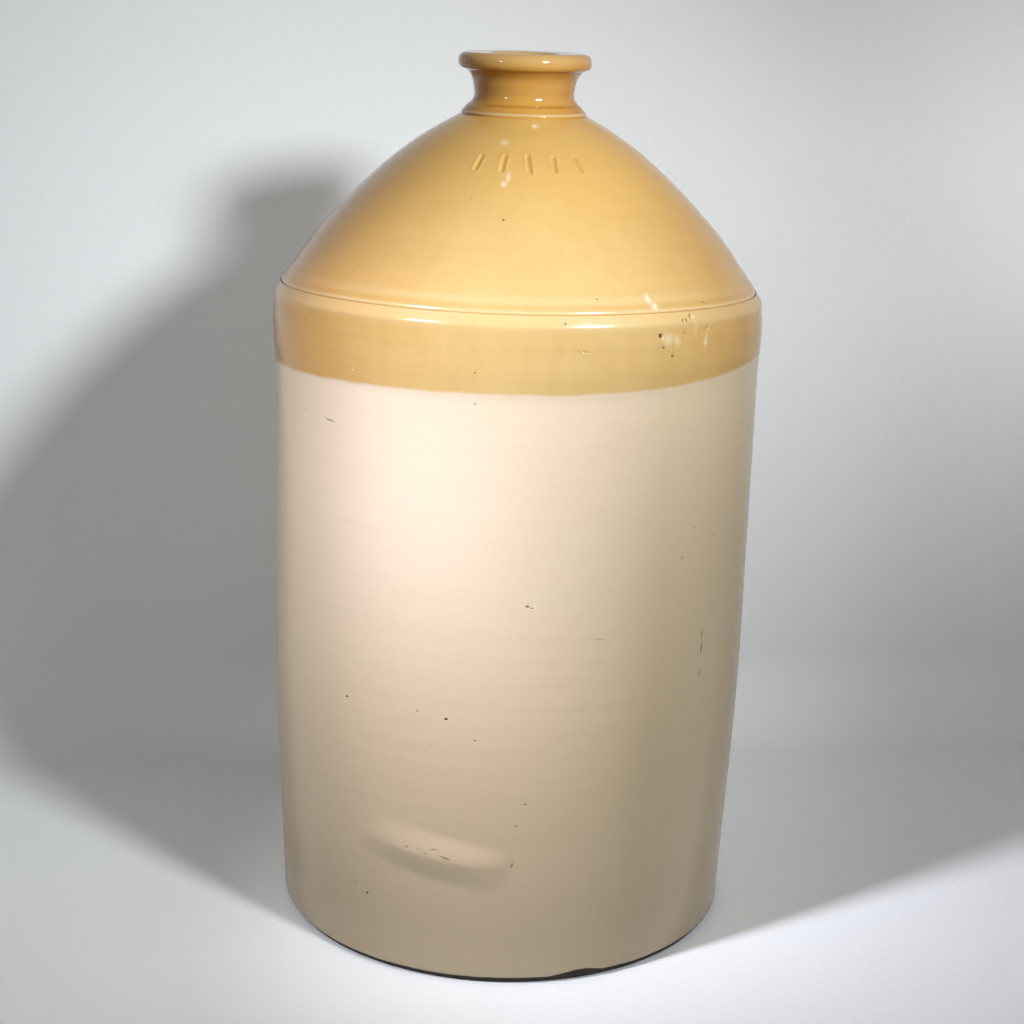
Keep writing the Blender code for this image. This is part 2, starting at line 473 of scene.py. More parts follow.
@dataclass(frozen=True)
class Blister:
    """A long ridge where the wall lifted in the kiln, with a crest that crosses it at a slant."""

    bearing: float = -16.8
    height: float = 0.0795
    length: float = 0.094
    width: float = 0.029
    rise: float = 0.0038
    tilt: float = -10.8
    crest: float = 0.05
    slant: float = 0.27
    heap: float = 0.32
    tent: float = 0.7
    crest_lift: float = 0.02
    crest_round: float = 0.06

    def lift(self, grid: TurnedGrid) -> np.ndarray:
        """How far the ridge raises each point of the grid's outside.

        With the place along and across the ridge as 1 at its edges, the rise is 1 - along^2 times a hump
        across it, part rounded bell and part straight-sided tent, and times 1 + heap * along. The hump's top
        lies at crest + slant * along.

        Args:
            grid: the surface.

        Returns:
            The rise at each ring and bearing.
        """
        tilt = math.radians(self.tilt)
        level = grid.arc_from(self.bearing)
        climb = grid.height - self.height
        along = (level * math.cos(tilt) + climb * math.sin(tilt)) / (self.length / 2.0)
        across = (climb * math.cos(tilt) - level * math.sin(tilt)) / (self.width / 2.0)
        top = self.crest + self.slant * np.clip(along, -1.0, 1.0)
        above = np.clip((across - top) / (1.0 - top), 0.0, None)
        below = np.clip((top - across) / (1.0 + top), 0.0, None)
        away = above + below
        tent = np.clip(1.0 + self.crest_lift - np.hypot(away, self.crest_round), 0.0, None)
        hump = (1.0 - self.tent) * fade(away, 1.0) + self.tent * tent
        heaped = self.rise * (1.0 + self.heap * np.clip(along, -1.0, 1.0))
        return grid.outside * heaped * fade(along, 1.0) ** 0.5 * hump


@dataclass(frozen=True)
class Pock:
    """A small burst bubble in the glaze: a pit with a raised lip."""

    bearing: float
    height: float
    width: float
    depth: float
    lip: float = 0.35
    lip_place: float = 1.5
    lip_width: float = 0.5

    def lift(self, grid: TurnedGrid) -> np.ndarray:
        """How far the pock raises or sinks each point: a bell-shaped pit, and a lip that rings it.

        Args:
            grid: the surface.

        Returns:
            The rise at each ring and bearing.
        """
        away = np.hypot(grid.arc_from(self.bearing), grid.height - self.height) / (self.width / 2.0)
        pit = np.exp(-(away ** 2))
        lip = self.lip * np.exp(-(((away - self.lip_place) / self.lip_width) ** 2))
        return grid.outside * self.depth * (lip - pit)


@dataclass(frozen=True)
class TallyMark:
    """A row of plain strokes pressed into the wet clay of the shoulder."""

    strokes: int = 5
    bearing: float = 3.0
    step: float = 11.3
    height: float = 0.4672
    length: float = 0.0135
    width: float = 0.0019
    depth: float = 0.0008
    edge: float = 0.0009
    lean: float = 0.09
    uneven: float = 0.1
    lip: float = 0.25
    lip_place: float = 1.3

    def _gap(self, grid: TurnedGrid) -> np.ndarray:
        """Distance of each point from the nearest stroke's outline, below 0 inside it.

        Each stroke is a straight line with round ends and half a width on either side. Sine waves over the
        strokes make each lean its own way and differ a little in length.

        Args:
            grid: the surface.

        Returns:
            The distance at each ring and bearing.
        """
        climb = grid.path - grid.path_at(self.height)
        nearest = np.full_like(grid.relief, math.inf)
        for place in range(self.strokes):
            offset = place - (self.strokes - 1) / 2.0
            lean = self.lean * math.sin(2.3 * place + 0.6)
            length = self.length * (1.0 - self.uneven * math.cos(1.7 * place))
            level = grid.arc_from(self.bearing + offset * self.step) - lean * climb
            beyond = np.clip(np.abs(climb) - (length - self.width) / 2.0, 0.0, None)
            nearest = np.minimum(nearest, np.hypot(level, beyond) - self.width / 2.0)
        return nearest

    def groove(self, grid: TurnedGrid) -> np.ndarray:
        """How deep in a stroke each point is: 1 on its floor, fading to 0 one edge width outside it."""
        return grid.outside * fade(np.clip(self._gap(grid) + self.edge, 0.0, None), 2.0 * self.edge)

    def lift(self, grid: TurnedGrid) -> np.ndarray:
        """How far the strokes sink or raise each point: the groove, and a low lip round it."""
        lip = self.lip * np.exp(-((self._gap(grid) / self.edge - self.lip_place) ** 2))
        return self.depth * (grid.outside * lip - self.groove(grid))


# Shader expressions

Operand = Union["Shade", float]


class Shade:
    """One value of a shader, with arithmetic that adds Math nodes."""

    def __init__(self, tree: "GlazeTree", socket: bpy.types.NodeSocket) -> None:
        """Wrap an output socket of a tree."""
        self.tree = tree
        self.socket = socket

    def _math(self, operation: str, *operands: Operand) -> "Shade":
        """A Math node on these operands."""
        return self.tree.node("ShaderNodeMath", {"operation": operation}, dict(enumerate(operands)))

    def __add__(self, other: Operand) -> "Shade":
        """Sum."""
        return self._math("ADD", self, other)

    __radd__ = __add__

    def __sub__(self, other: Operand) -> "Shade":
        """Difference."""
        return self._math("SUBTRACT", self, other)

    def __mul__(self, other: Operand) -> "Shade":
        """Product."""
        return self._math("MULTIPLY", self, other)

    __rmul__ = __mul__

    def __truediv__(self, other: Operand) -> "Shade":
        """Quotient."""
        return self._math("DIVIDE", self, other)

    def __neg__(self) -> "Shade":
        """The value with its sign changed."""
        return self._math("MULTIPLY", self, -1.0)

    def __abs__(self) -> "Shade":
        """The value without its sign."""
        return self._math("ABSOLUTE", self)

    def sine(self) -> "Shade":
        """Sine of an angle in radians."""
        return self._math("SINE", self)

    def root(self) -> "Shade":
        """Square root."""
        return self._math("SQRT", self)

    def most(self, other: Operand) -> "Shade":
        """The larger of two values."""
        return self._math("MAXIMUM", self, other)

    def bearing_with(self, forward: Operand) -> "Shade":
        """The angle whose sine goes with this value and whose cosine goes with the other."""
        return self._math("ARCTAN2", self, forward)

    def ramp(self, low: Operand, high: Operand, top: float = 1.0) -> "Shade":
        """0 at low, top at high and smooth between, whichever of the first two is larger."""
        sockets = {"Value": self, "From Min": low, "From Max": high, "To Max": top}
        return self.tree.node("ShaderNodeMapRange", {"interpolation_type": "SMOOTHSTEP"}, sockets)

    def bell(self, centre: Operand, width: float) -> "Shade":
        """1 at the centre, falling smoothly to 0 at the width on either side."""
        return abs(self - centre).ramp(width, 0.0)


class GlazeTree:
    """A material's node tree, with short ways to the patterns that the glazes share."""

    def __init__(self, name: str) -> None:
        """Make a material with one Principled shader.

        Args:
            name: the material's name.
        """
        self.material = bpy.data.materials.new(name)
        self.material.use_nodes = True
        self.nodes = self.material.node_tree.nodes
        self.links = self.material.node_tree.links
        self.shader = self.nodes["Principled BSDF"]
        self.place = self.node("ShaderNodeTexCoord", {}, {}, "Object")
        self.x = self.node("ShaderNodeSeparateXYZ", {}, {0: self.place}, "X")
        self.y = Shade(self, self.x.socket.node.outputs["Y"])
        self.height = Shade(self, self.x.socket.node.outputs["Z"])
        self.bearing = self.x.bearing_with(-self.y)
        arc = self.bearing * BAND_RADIUS
        self.unrolled = self.node("ShaderNodeCombineXYZ", {}, {"X": arc, "Y": self.height})

    def node(
        self,
        kind: str,
        settings: dict[str, Any],
        sockets: dict[Union[str, int], Any],
        output: Union[str, int] = 0,
    ) -> Shade:
        """Add a node: its settings first, then its sockets.

        Args:
            kind: the node's type.
            settings: its properties, such as a Math node's operation.
            sockets: values or links for its inputs, by name, identifier or number.
            output: the output to return, by name or number.

        Returns:
            The chosen output.
        """
        made = self.nodes.new(kind)
        for name, value in settings.items():
            setattr(made, name, value)
        identifiers = {socket.identifier: socket for socket in made.inputs}
        for key, value in sockets.items():
            socket = identifiers[key] if key in identifiers else made.inputs[key]
            self.feed(socket, value)
        return Shade(self, made.outputs[output])

    def feed(self, socket: bpy.types.NodeSocket, value: Any) -> None:
        """Link a shade to an input socket, or set a plain value on it.

        Args:
            socket: the input socket.
            value: a shade, a number or a tuple of numbers, which is a colour on a colour socket.
        """
        if isinstance(value, Shade):
            self.links.new(value.socket, socket)
        elif isinstance(value, tuple) and socket.type == "RGBA":
            socket.default_value = (*value, 1.0)
        else:
            socket.default_value = value

    def mix(self, factor: Shade, first: Union[Shade, Colour], second: Union[Shade, Colour]) -> Shade:
        """Blend two colours: the first where the factor is 0, the second where it is 1."""
        sockets = {"Factor_Float": factor, "A_Color": first, "B_Color": second}
        return self.node("ShaderNodeMix", {"data_type": "RGBA"}, sockets, 2)

    def scaled(self, colour: Union[Shade, Colour], factor: Shade) -> Shade:
        """A colour made lighter or darker by a factor."""
        return self.node("ShaderNodeVectorMath", {"operation": "SCALE"}, {0: colour, "Scale": factor})

    def noise(self, size: Triple, detail: float = 2.0, roughness: float = 0.5) -> Shade:
        """Cloudy noise from 0 to 1, about 0.5.

        Args:
            size: about how large its blotches are along X, Y and Z, in metres.
            detail: how many finer layers it has.
            roughness: how strong the finer layers are.

        Returns:
            The noise.
        """
        scale = tuple(1.0 / length for length in size)
        spot = self.node("ShaderNodeMapping", {}, {"Vector": self.place, "Scale": scale})
        sockets = {"Vector": spot, "Scale": 1.0, "Detail": detail, "Roughness": roughness}
        return self.node("ShaderNodeTexNoise", {}, sockets)

    def from_axis(self, x: float = 0.0, y: float = 0.0) -> Shade:
        """Level distance from an upright line.

        Args:
            x: the line's x, which is the axis unless given.
            y: its y.

        Returns:
            The distance.
        """
        aside = self.x - x
        ahead = self.y - y
        return (aside * aside + ahead * ahead).root()

    def two_sided(self, bearing: float) -> Shade:
        """1 at a bearing in degrees and opposite it, 0 a quarter turn away: the cosine squared."""
        turn = (self.bearing - math.radians(bearing)) * 2.0 + math.pi / 2.0
        return turn.sine() * 0.5 + 0.5

    def bumped(self, height: Shade, distance: float) -> Shade:
        """A normal bumped by a height, of which 1 stands out by the distance."""
        sockets = {"Height": height, "Distance": distance, "Strength": 1.0}
        return self.node("ShaderNodeBump", {}, sockets)

    def finish(self, colour: Shade, roughness: Shade, normal: Shade) -> bpy.types.Material:
        """Feed the shader.

        Args:
            colour: the base colour.
            roughness: the roughness.
            normal: the bumped normal.

        Returns:
            The material.
        """
        self.feed(self.shader.inputs["Base Color"], colour)
        self.feed(self.shader.inputs["Roughness"], roughness)
        self.feed(self.shader.inputs["Normal"], normal)
        return self.material


# Finishes


@dataclass(frozen=True)
class Grain:
    """Even noise: the size of its blotches along X, Y and Z, how many finer layers, and its strength."""

    size: Triple
    detail: float
    strength: float

    def shade(self, tree: GlazeTree) -> Shade:
        """The noise, from 0 to the strength."""
        return tree.noise(self.size, self.detail) * self.strength


@dataclass(frozen=True)
class Mottle:
    """Cloudy patches: a noise that sets in at one value, is full at another and has a strength there."""

    size: Triple
    detail: float
    sets_in: float
    full: float
    strength: float
    roughness: float = 0.5

    def mask(self, tree: GlazeTree) -> Shade:
        """0 between the patches, the strength in the middle of them."""
        noise = tree.noise(self.size, self.detail, self.roughness)
        return noise.ramp(self.sets_in, self.full) * self.strength


@dataclass(frozen=True)
class Specks:
    """Round iron specks, in those cells of a Voronoi pattern whose random number is in the share."""

    spacing: float
    largest: float
    share: float
    strength: float
    smallest: float = 0.3
    solid: float = 0.55

    def mask(self, tree: GlazeTree) -> Shade:
        """The strength inside a speck, 0 elsewhere.

        The cells are about the spacing apart. A second random number sets a speck's radius, from a smallest
        part of the largest radius to all of it.

        Args:
            tree: the material's tree.

        Returns:
            The mask.
        """
        sockets = {"Vector": tree.place, "Scale": 1.0 / self.spacing}
        cell = tree.node("ShaderNodeTexVoronoi", {}, sockets, "Distance")
        draw = Shade(tree, cell.socket.node.outputs["Color"])
        chance = tree.node("ShaderNodeSeparateColor", {}, {0: draw}, "Red")
        size = Shade(tree, chance.socket.node.outputs["Green"]) * (1.0 - self.smallest) + self.smallest
        near = (cell * self.spacing / (size * self.largest)).ramp(1.0, self.solid)
        return near * chance.ramp(self.share + 0.01, self.share) * self.strength


@dataclass(frozen=True)
class Band:
    """A band of glaze round one level of a height or like value: its reach either side and its strength."""

    level: float
    reach: float
    strength: float

    def mask(self, value: Shade) -> Shade:
        """The strength at the level, fading to 0 at the reach."""
        return value.bell(self.level, self.reach) * self.strength


@dataclass(frozen=True)
class Change:
    """A smooth change of glaze over a height or like value: 0 at the start, its strength at the end."""

    start: float
    end: float
    strength: float

    def mask(self, value: Shade) -> Shade:
        """0 at the start, the strength at the end and smooth between."""
        return value.ramp(self.start, self.end) * self.strength


@dataclass(frozen=True)
class Mark:
    """One small flaw of the glaze: an ellipse at a bearing in degrees and a height.

    Its sizes are those it would have on the wall. On the dome it is narrower, as the radius is less.
    """

    bearing: float
    height: float
    wide: float
    tall: float
    tone: Tone
    strength: float = 1.0
    tilt: float = 0.0

    def mask(self, tree: GlazeTree, uneven: Shade) -> Shade:
        """The mark's strength inside it, fading to 0 at its edge.

        Args:
            tree: the material's tree.
            uneven: the place on the unrolled wall, nudged so that edges wander.

        Returns:
            The mask.
        """
        place = (math.radians(self.bearing) * BAND_RADIUS + WANDER / 2.0, self.height + WANDER / 2.0, 0.0)
        turn = (0.0, 0.0, math.radians(self.tilt))
        half = (self.wide / 2.0, self.tall / 2.0, 1.0)
        sockets = {"Vector": uneven, "Location": place, "Rotation": turn, "Scale": half}
        within = tree.node("ShaderNodeMapping", {"vector_type": "TEXTURE"}, sockets)
        away = tree.node("ShaderNodeVectorMath", {"operation": "LENGTH"}, {0: within}, "Value")
        return away.ramp(1.0, self.tone.value, self.strength)


@dataclass(frozen=True)
class OchreCoat:
    """Honey ochre glaze: deep where it pools, paler where it runs thin, with iron specks and painted shade
    on the flanks.
    """

    honey: Colour = (0.624, 0.431, 0.180)
    # Painted shade: the flanks, a quarter turn from the lit bearing, take this deeper colour.
    shaded_flank: Colour = (0.55, 0.282, 0.072)
    amber: Colour = (0.70, 0.400, 0.104)
    # Also the colour of painted shade, passed in with the pools.
    deep: Colour = (0.44, 0.225, 0.05)
    # Also the colour of painted highlights and sheen, passed in with the thin glaze.
    thin: Colour = (0.74, 0.56, 0.33)
    bare: Colour = (0.84, 0.69, 0.48)
    iron: Colour = (0.10, 0.045, 0.015)
    gloss: float = 0.13
    # The bearing, and the one opposite it, where the glaze keeps its lit colour; the sides are painted
    # darker.
    painted_light_bearing: float = 6.0
    shade: float = 0.92
    clouds: Mottle = Mottle((0.055, 0.055, 0.055), 3.0, 0.3, 0.75, 0.16)
    runs: Mottle = Mottle((0.010, 0.010, 0.085), 2.0, 0.35, 0.8, 0.10)
    pale: Mottle = Mottle((0.03, 0.03, 0.02), 2.0, 0.5, 0.85, 0.12)
    dull: Mottle = Mottle((0.02, 0.02, 0.02), 3.0, 0.35, 0.85, 0.07)
    grain: Grain = Grain((0.0022, 0.0022, 0.0022), 2.0, 0.09)
    turns: Grain = Grain((0.25, 0.25, 0.0045), 2.0, 0.07)
    specks: Specks = Specks(0.012, 0.00075, 0.30, 0.75)

    def colour(self, tree: GlazeTree, pooled_and_shade: Operand, thin_glaze_and_sheen: Operand) -> Shade:
        """The glaze's colour.

        Args:
            tree: the material's tree.
            pooled_and_shade: 1 where the glaze is deepest and where shade is painted.
            thin_glaze_and_sheen: 1 where it is thinnest and where highlights and sheen are painted.

        Returns:
            The colour.
        """
        # Painted shade on the flanks: the lit colour front and back, the deeper flank colour a quarter turn
        # away.
        base = tree.mix(tree.two_sided(self.painted_light_bearing), self.shaded_flank, self.honey)
        base = tree.mix(self.clouds.mask(tree) + self.runs.mask(tree), base, self.deep)
        base = tree.mix(self.pale.mask(tree), base, self.thin)
        base = tree.scaled(base, self.shade + self.grain.shade(tree) + self.turns.shade(tree))
        base = tree.mix(thin_glaze_and_sheen, base, self.thin)
        base = tree.mix(pooled_and_shade, base, self.deep)
        return tree.mix(self.specks.mask(tree), base, self.iron)

    def roughness(self, tree: GlazeTree) -> Shade:
        """Gloss that is a little duller in cloudy patches."""
        return self.gloss + self.dull.mask(tree)


@dataclass(frozen=True)
class CreamCoat:
    """Oatmeal cream glaze: faintly ringed by the throwing, with iron specks, warmer clouds and painted shade
    on the flanks.
    """

    oatmeal: Colour = (0.735, 0.592, 0.448)
    # Painted shade: the flanks take this darker, warmer colour.
    shaded_flank: Colour = (0.650, 0.506, 0.318)
    warm: Colour = (0.69, 0.535, 0.365)
    low: Colour = (0.735, 0.572, 0.366)
    grey: Colour = (0.62, 0.505, 0.36)
    iron: Colour = (0.13, 0.075, 0.035)
    gloss: float = 0.2
    painted_light_bearing: float = -15.0
    shade: float = 0.97
    clouds: Mottle = Mottle((0.09, 0.09, 0.06), 3.0, 0.35, 0.75, 0.30)
    turns: Mottle = Mottle((0.30, 0.30, 0.006), 3.0, 0.4, 0.8, 0.09)
    smears: Mottle = Mottle((0.035, 0.035, 0.008), 3.0, 0.58, 0.85, 0.20)
    dull: Mottle = Mottle((0.03, 0.03, 0.012), 3.0, 0.35, 0.85, 0.08)
    grain: Grain = Grain((0.0025, 0.0025, 0.0025), 2.0, 0.06)
    specks: Specks = Specks(0.0145, 0.00075, 0.34, 0.8)
    fine_specks: Specks = Specks(0.006, 0.0004, 0.25, 0.35)
    lower: Change = Change(0.28, 0.13, 0.85)
    # The cream is made a little darker towards the foot.
    darker_near_foot: Change = Change(0.085, 0.03, 0.10)

    def colour(self, tree: GlazeTree) -> Shade:
        """The glaze's colour.

        Args:
            tree: the material's tree.

        Returns:
            The colour.
        """
        # Painted shade on the flanks: oatmeal front and back, the flank colour a quarter turn away.
        base = tree.mix(tree.two_sided(self.painted_light_bearing), self.shaded_flank, self.oatmeal)
        base = tree.mix(self.lower.mask(tree.height), base, self.low)
        base = tree.mix(self.clouds.mask(tree), base, self.warm)
        base = tree.mix(self.turns.mask(tree) + self.smears.mask(tree), base, self.grey)
        base = tree.scaled(base, self.shade + self.grain.shade(tree) - self.darker_near_foot.mask(tree.height))
        for specks in (self.specks, self.fine_specks):
            base = tree.mix(specks.mask(tree), base, self.iron)
        return base

    def roughness(self, tree: GlazeTree) -> Shade:
        """Gloss that is a little duller in cloudy patches."""
        return self.gloss + self.dull.mask(tree)


@dataclass(frozen=True)
class BareClay:
    """Unglazed stoneware: toasted brown, gritty and dull."""

    clay: Colour = (0.44, 0.33, 0.22)
    toasted: Colour = (0.25, 0.155, 0.09)
    # Near-black: bare clay darkened with painted shade, for the line under the foot's edge.
    shaded_bare_clay: Colour = (0.032, 0.023, 0.016)
    dull: float = 0.82
    shade: float = 0.8
    clouds: Mottle = Mottle((0.03, 0.03, 0.01), 4.0, 0.35, 0.7, 0.8, 0.6)
    grit: Mottle = Mottle((0.0012, 0.0012, 0.0012), 2.0, 0.3, 0.7, 0.35)

    def colour(self, tree: GlazeTree) -> Shade:
        """The clay's colour: toasted in clouds, with fine light and dark grit."""
        base = tree.mix(self.clouds.mask(tree), self.clay, self.toasted)
        return tree.scaled(base, self.shade + self.grit.mask(tree))


@dataclass(frozen=True)
class WireCut:
    """The arcs that a cutting wire leaves on gritty clay: a wave outwards from a point beside the flagon."""

    centre: Pair = (-0.19, 0.05)
    pitch: float = 0.0062
    sway: Grain = Grain((0.04, 0.04, 0.04), 2.0, 9.0)
    shade: float = 0.94
    tone: float = 0.07
    rise: float = 0.4
    depth: float = 0.0006
    grit_size: Triple = (0.0015, 0.0015, 0.0015)
    grit_dull: float = 0.1

    def arcs(self, tree: GlazeTree) -> Shade:
        """The wave, from -1 to 1: the sine of the distance from the centre, swaying a little."""
        away = tree.from_axis(*self.centre)
        return (away * (math.tau / self.pitch) + self.sway.shade(tree)).sine()


@dataclass(frozen=True)
class DipLine:
    """Where the ochre dip ends on the wall: level, a tilt once round and three shallow waves."""

    level: float = 0.3520
    tilt: float = 0.0051
    wave: float = 0.0013
    ragged: float = 0.0024
    rag_size: Triple = (0.02, 0.02, 0.03)
    soft: float = 0.0013

    def mask(self, tree: GlazeTree) -> Shade:
        """1 above the line, 0 below it.

        Args:
            tree: the material's tree.

        Returns:
            The mask.
        """
        sway = (tree.noise(self.rag_size, 3.0) - 0.5) * self.ragged
        waves = tree.bearing.sine() * self.tilt - (tree.bearing * 3.0).sine() * self.wave
        rise = tree.height - (waves + sway + self.level)
        return rise.ramp(-self.soft, self.soft)


@dataclass(frozen=True)
class FootLine:
    """Where the glaze ends above the foot: a level, a tilt once round and one place chipped away higher."""

    level: float = 0.0042
    tilt: float = 0.0010
    ragged: float = 0.0014
    rag_size: Triple = (0.012, 0.012, 0.02)
    chip_bearing: float = 20.0
    chip_reach: float = 0.022
    chip_rise: float = 0.0026
    soft: float = 0.0003

    def mask(self, tree: GlazeTree) -> Shade:
        """1 below the line, 0 above it.

        Args:
            tree: the material's tree.

        Returns:
            The mask.
        """
        away = (tree.bearing - math.radians(self.chip_bearing)) * BAND_RADIUS
        chip = away.bell(0.0, self.chip_reach) * self.chip_rise
        sway = (tree.noise(self.rag_size, 3.0) - 0.5) * self.ragged
        rise = tree.height - (sway + chip + tree.bearing.sine() * self.tilt + self.level)
        return rise.ramp(self.soft, -self.soft)


def cover(tree: GlazeTree, marks: Sequence[Mark], tone: Tone) -> Shade:
    """How strongly marks of one tone cover each place: the strongest of them there.

    Args:
        tree: the material's tree.
        marks: the marks.
        tone: which of them to use.

    Returns:
        The cover, from 0 to 1.
    """
    nudge = tree.noise(WANDER_SIZE)
    drift = Shade(tree, nudge.socket.node.outputs["Color"])
    sockets = {0: drift, 1: (WANDER, WANDER, 0.0), 2: tree.unrolled}
    uneven = tree.node("ShaderNodeVectorMath", {"operation": "MULTIPLY_ADD"}, sockets)
    masks = [mark.mask(tree, uneven) for mark in marks if mark.tone is tone]
    return functools.reduce(Shade.most, masks)


ORANGE_PEEL = Grain((0.009, 0.009, 0.009), 2.0, 0.5)
THROWING_LINES = Grain((0.2, 0.2, 0.0035), 2.0, 0.2)
SKIN_DEPTH = 0.0004


def glaze_normal(tree: GlazeTree, dent: Operand) -> Shade:
    """The glaze's skin: a soft orange peel, faint throwing lines and any dents.

    Args:
        tree: the material's tree.
        dent: how deep marks sink, from 0 to 1.

    Returns:
        The bumped normal.
    """
    return tree.bumped(ORANGE_PEEL.shade(tree) + THROWING_LINES.shade(tree) - dent, SKIN_DEPTH)


# Flaws seen on this flagon

POCKS = (
    Pock(32.2, 0.3823, 0.0030, 0.0009),
    Pock(33.0, 0.3766, 0.0028, 0.0006),
    Pock(35.5, 0.3713, 0.0026, 0.0006),
    Pock(38.7, 0.3837, 0.0030, 0.0005),
    Pock(38.8, 0.3893, 0.0022, 0.0005),
    Pock(41.2, 0.3910, 0.0030, 0.0006),
    Pock(46.0, 0.3834, 0.0032, 0.0005),
    Pock(45.3, 0.3774, 0.0036, 0.0004),
)

WALL_MARKS = (
    Mark(32.2, 0.3823, 0.0026, 0.0034, Tone.DARK),
    Mark(33.0, 0.3757, 0.0022, 0.0014, Tone.DARK, 0.8),
    Mark(35.5, 0.3706, 0.0026, 0.0014, Tone.DARK, 0.8),
    Mark(38.4, 0.3897, 0.0014, 0.0024, Tone.DARK, 0.8),
    Mark(39.4, 0.3897, 0.0014, 0.0024, Tone.DARK, 0.8),
    Mark(41.0, 0.3915, 0.0026, 0.0022, Tone.DARK, 0.6),
    Mark(38.7, 0.3826, 0.0030, 0.0013, Tone.DARK, 0.45),
    Mark(45.5, 0.3838, 0.0012, 0.0036, Tone.DARK, 0.4),
    Mark(13.2, 0.3762, 0.0022, 0.0014, Tone.DARK, 0.22),
    Mark(14.4, 0.3760, 0.0028, 0.0015, Tone.DARK, 0.30),
    Mark(15.4, 0.3758, 0.0020, 0.0014, Tone.DARK, 0.25),
    Mark(10.2, 0.3905, 0.0020, 0.0020, Tone.DARK, 0.6),
    Mark(-8.4, 0.3462, 0.0019, 0.0016, Tone.DARK, 0.5),
    Mark(-45.0, 0.3257, 0.0105, 0.0011, Tone.DARK, 0.6, -9.0),
    Mark(-54.4, 0.3273, 0.0011, 0.0036, Tone.DARK, 0.35),
    Mark(4.1, 0.2337, 0.0030, 0.0018, Tone.DARK, 0.7),
    Mark(5.0, 0.2330, 0.0020, 0.0014, Tone.DARK, 0.55),
    Mark(-38.8, 0.1658, 0.0021, 0.0019, Tone.DARK),
    Mark(-19.9, 0.1676, 0.0018, 0.0015, Tone.DARK, 0.75),
    Mark(-13.1, 0.1652, 0.0023, 0.0020, Tone.DARK),
    Mark(-6.5, 0.1536, 0.0019, 0.0013, Tone.DARK, 0.7),
    Mark(-33.5, 0.0454, 0.0021, 0.0019, Tone.DARK),
    Mark(-37.4, 0.0495, 0.0030, 0.0040, Tone.DARK, 0.25),
    Mark(5.1, 0.1160, 0.0017, 0.0017, Tone.DARK, 0.6),
    Mark(3.2, 0.1021, 0.0020, 0.0013, Tone.DARK, 0.6),
    Mark(2.6, 0.0773, 0.0014, 0.0052, Tone.DARK, 0.55, -28.0),
    Mark(50.6, 0.2030, 0.0011, 0.0082, Tone.DARK, 0.75, -3.0),
    Mark(50.7, 0.1950, 0.0013, 0.0086, Tone.DARK, 0.85, -3.0),
    Mark(50.5, 0.1795, 0.0011, 0.0070, Tone.DARK, 0.55, -6.0),
    Mark(41.7, 0.2535, 0.0016, 0.0016, Tone.DARK, 0.7),
    Mark(20.7, 0.2127, 0.0070, 0.0016, Tone.DARK, 0.22),
    Mark(-21.9, 0.0836, 0.0028, 0.0015, Tone.DARK, 0.5, -20.0),
    Mark(-15.4, 0.0846, 0.0062, 0.0010, Tone.DARK, 0.4, 4.0),
    Mark(-12.7, 0.0806, 0.0080, 0.0011, Tone.DARK, 0.62, -18.0),
    Mark(-17.4, 0.0820, 0.0064, 0.0010, Tone.DARK, 0.35, -16.0),
    Mark(-18.9, 0.0838, 0.0050, 0.0009, Tone.DARK, 0.3, -12.0),
    Mark(34.0, 0.3802, 0.0120, 0.0110, Tone.PALE, 0.45),
    Mark(36.6, 0.3790, 0.0080, 0.0110, Tone.PALE, 0.40, 20.0),
    Mark(45.3, 0.3770, 0.0052, 0.0130, Tone.PALE, 0.50, -12.0),
    Mark(46.2, 0.3836, 0.0040, 0.0040, Tone.PALE, 0.40),
    Mark(41.9, 0.3910, 0.0050, 0.0030, Tone.PALE, 0.45),
    Mark(42.0, 0.3850, 0.0060, 0.0140, Tone.PALE, 0.20),
    Mark(-37.6, 0.3571, 0.0018, 0.0018, Tone.PALE, 0.8),
    Mark(5.6, 0.2342, 0.0022, 0.0018, Tone.PALE, 0.8),
    Mark(-34.5, 0.0908, 0.0034, 0.0080, Tone.PALE, 0.35, 10.0),
)

DOME_MARKS = (
    Mark(-5.1, 0.4399, 0.0031, 0.0014, Tone.DARK, 0.7),
    Mark(-17.0, 0.4497, 0.0028, 0.0012, Tone.DARK, 0.45),
    Mark(47.2, 0.3969, 0.0031, 0.0012, Tone.DARK, 0.5, -20.0),
    Mark(18.1, 0.4021, 0.0019, 0.0012, Tone.DARK, 0.5),
    Mark(8.1, 0.4859, 0.0160, 0.0040, Tone.PALE, 1.0),
    Mark(-10.1, 0.4775, 0.0190, 0.0046, Tone.PALE, 0.55),
    Mark(-5.2, 0.4606, 0.0074, 0.0080, Tone.PALE, 0.7, -24.0),
    Mark(-6.6, 0.4570, 0.0090, 0.0044, Tone.PALE, 0.9),
    Mark(30.9, 0.4012, 0.0060, 0.0080, Tone.PALE, 0.8, 14.0),
    Mark(32.0, 0.3975, 0.0070, 0.0060, Tone.PALE, 0.8, 14.0),
)


# Pieces


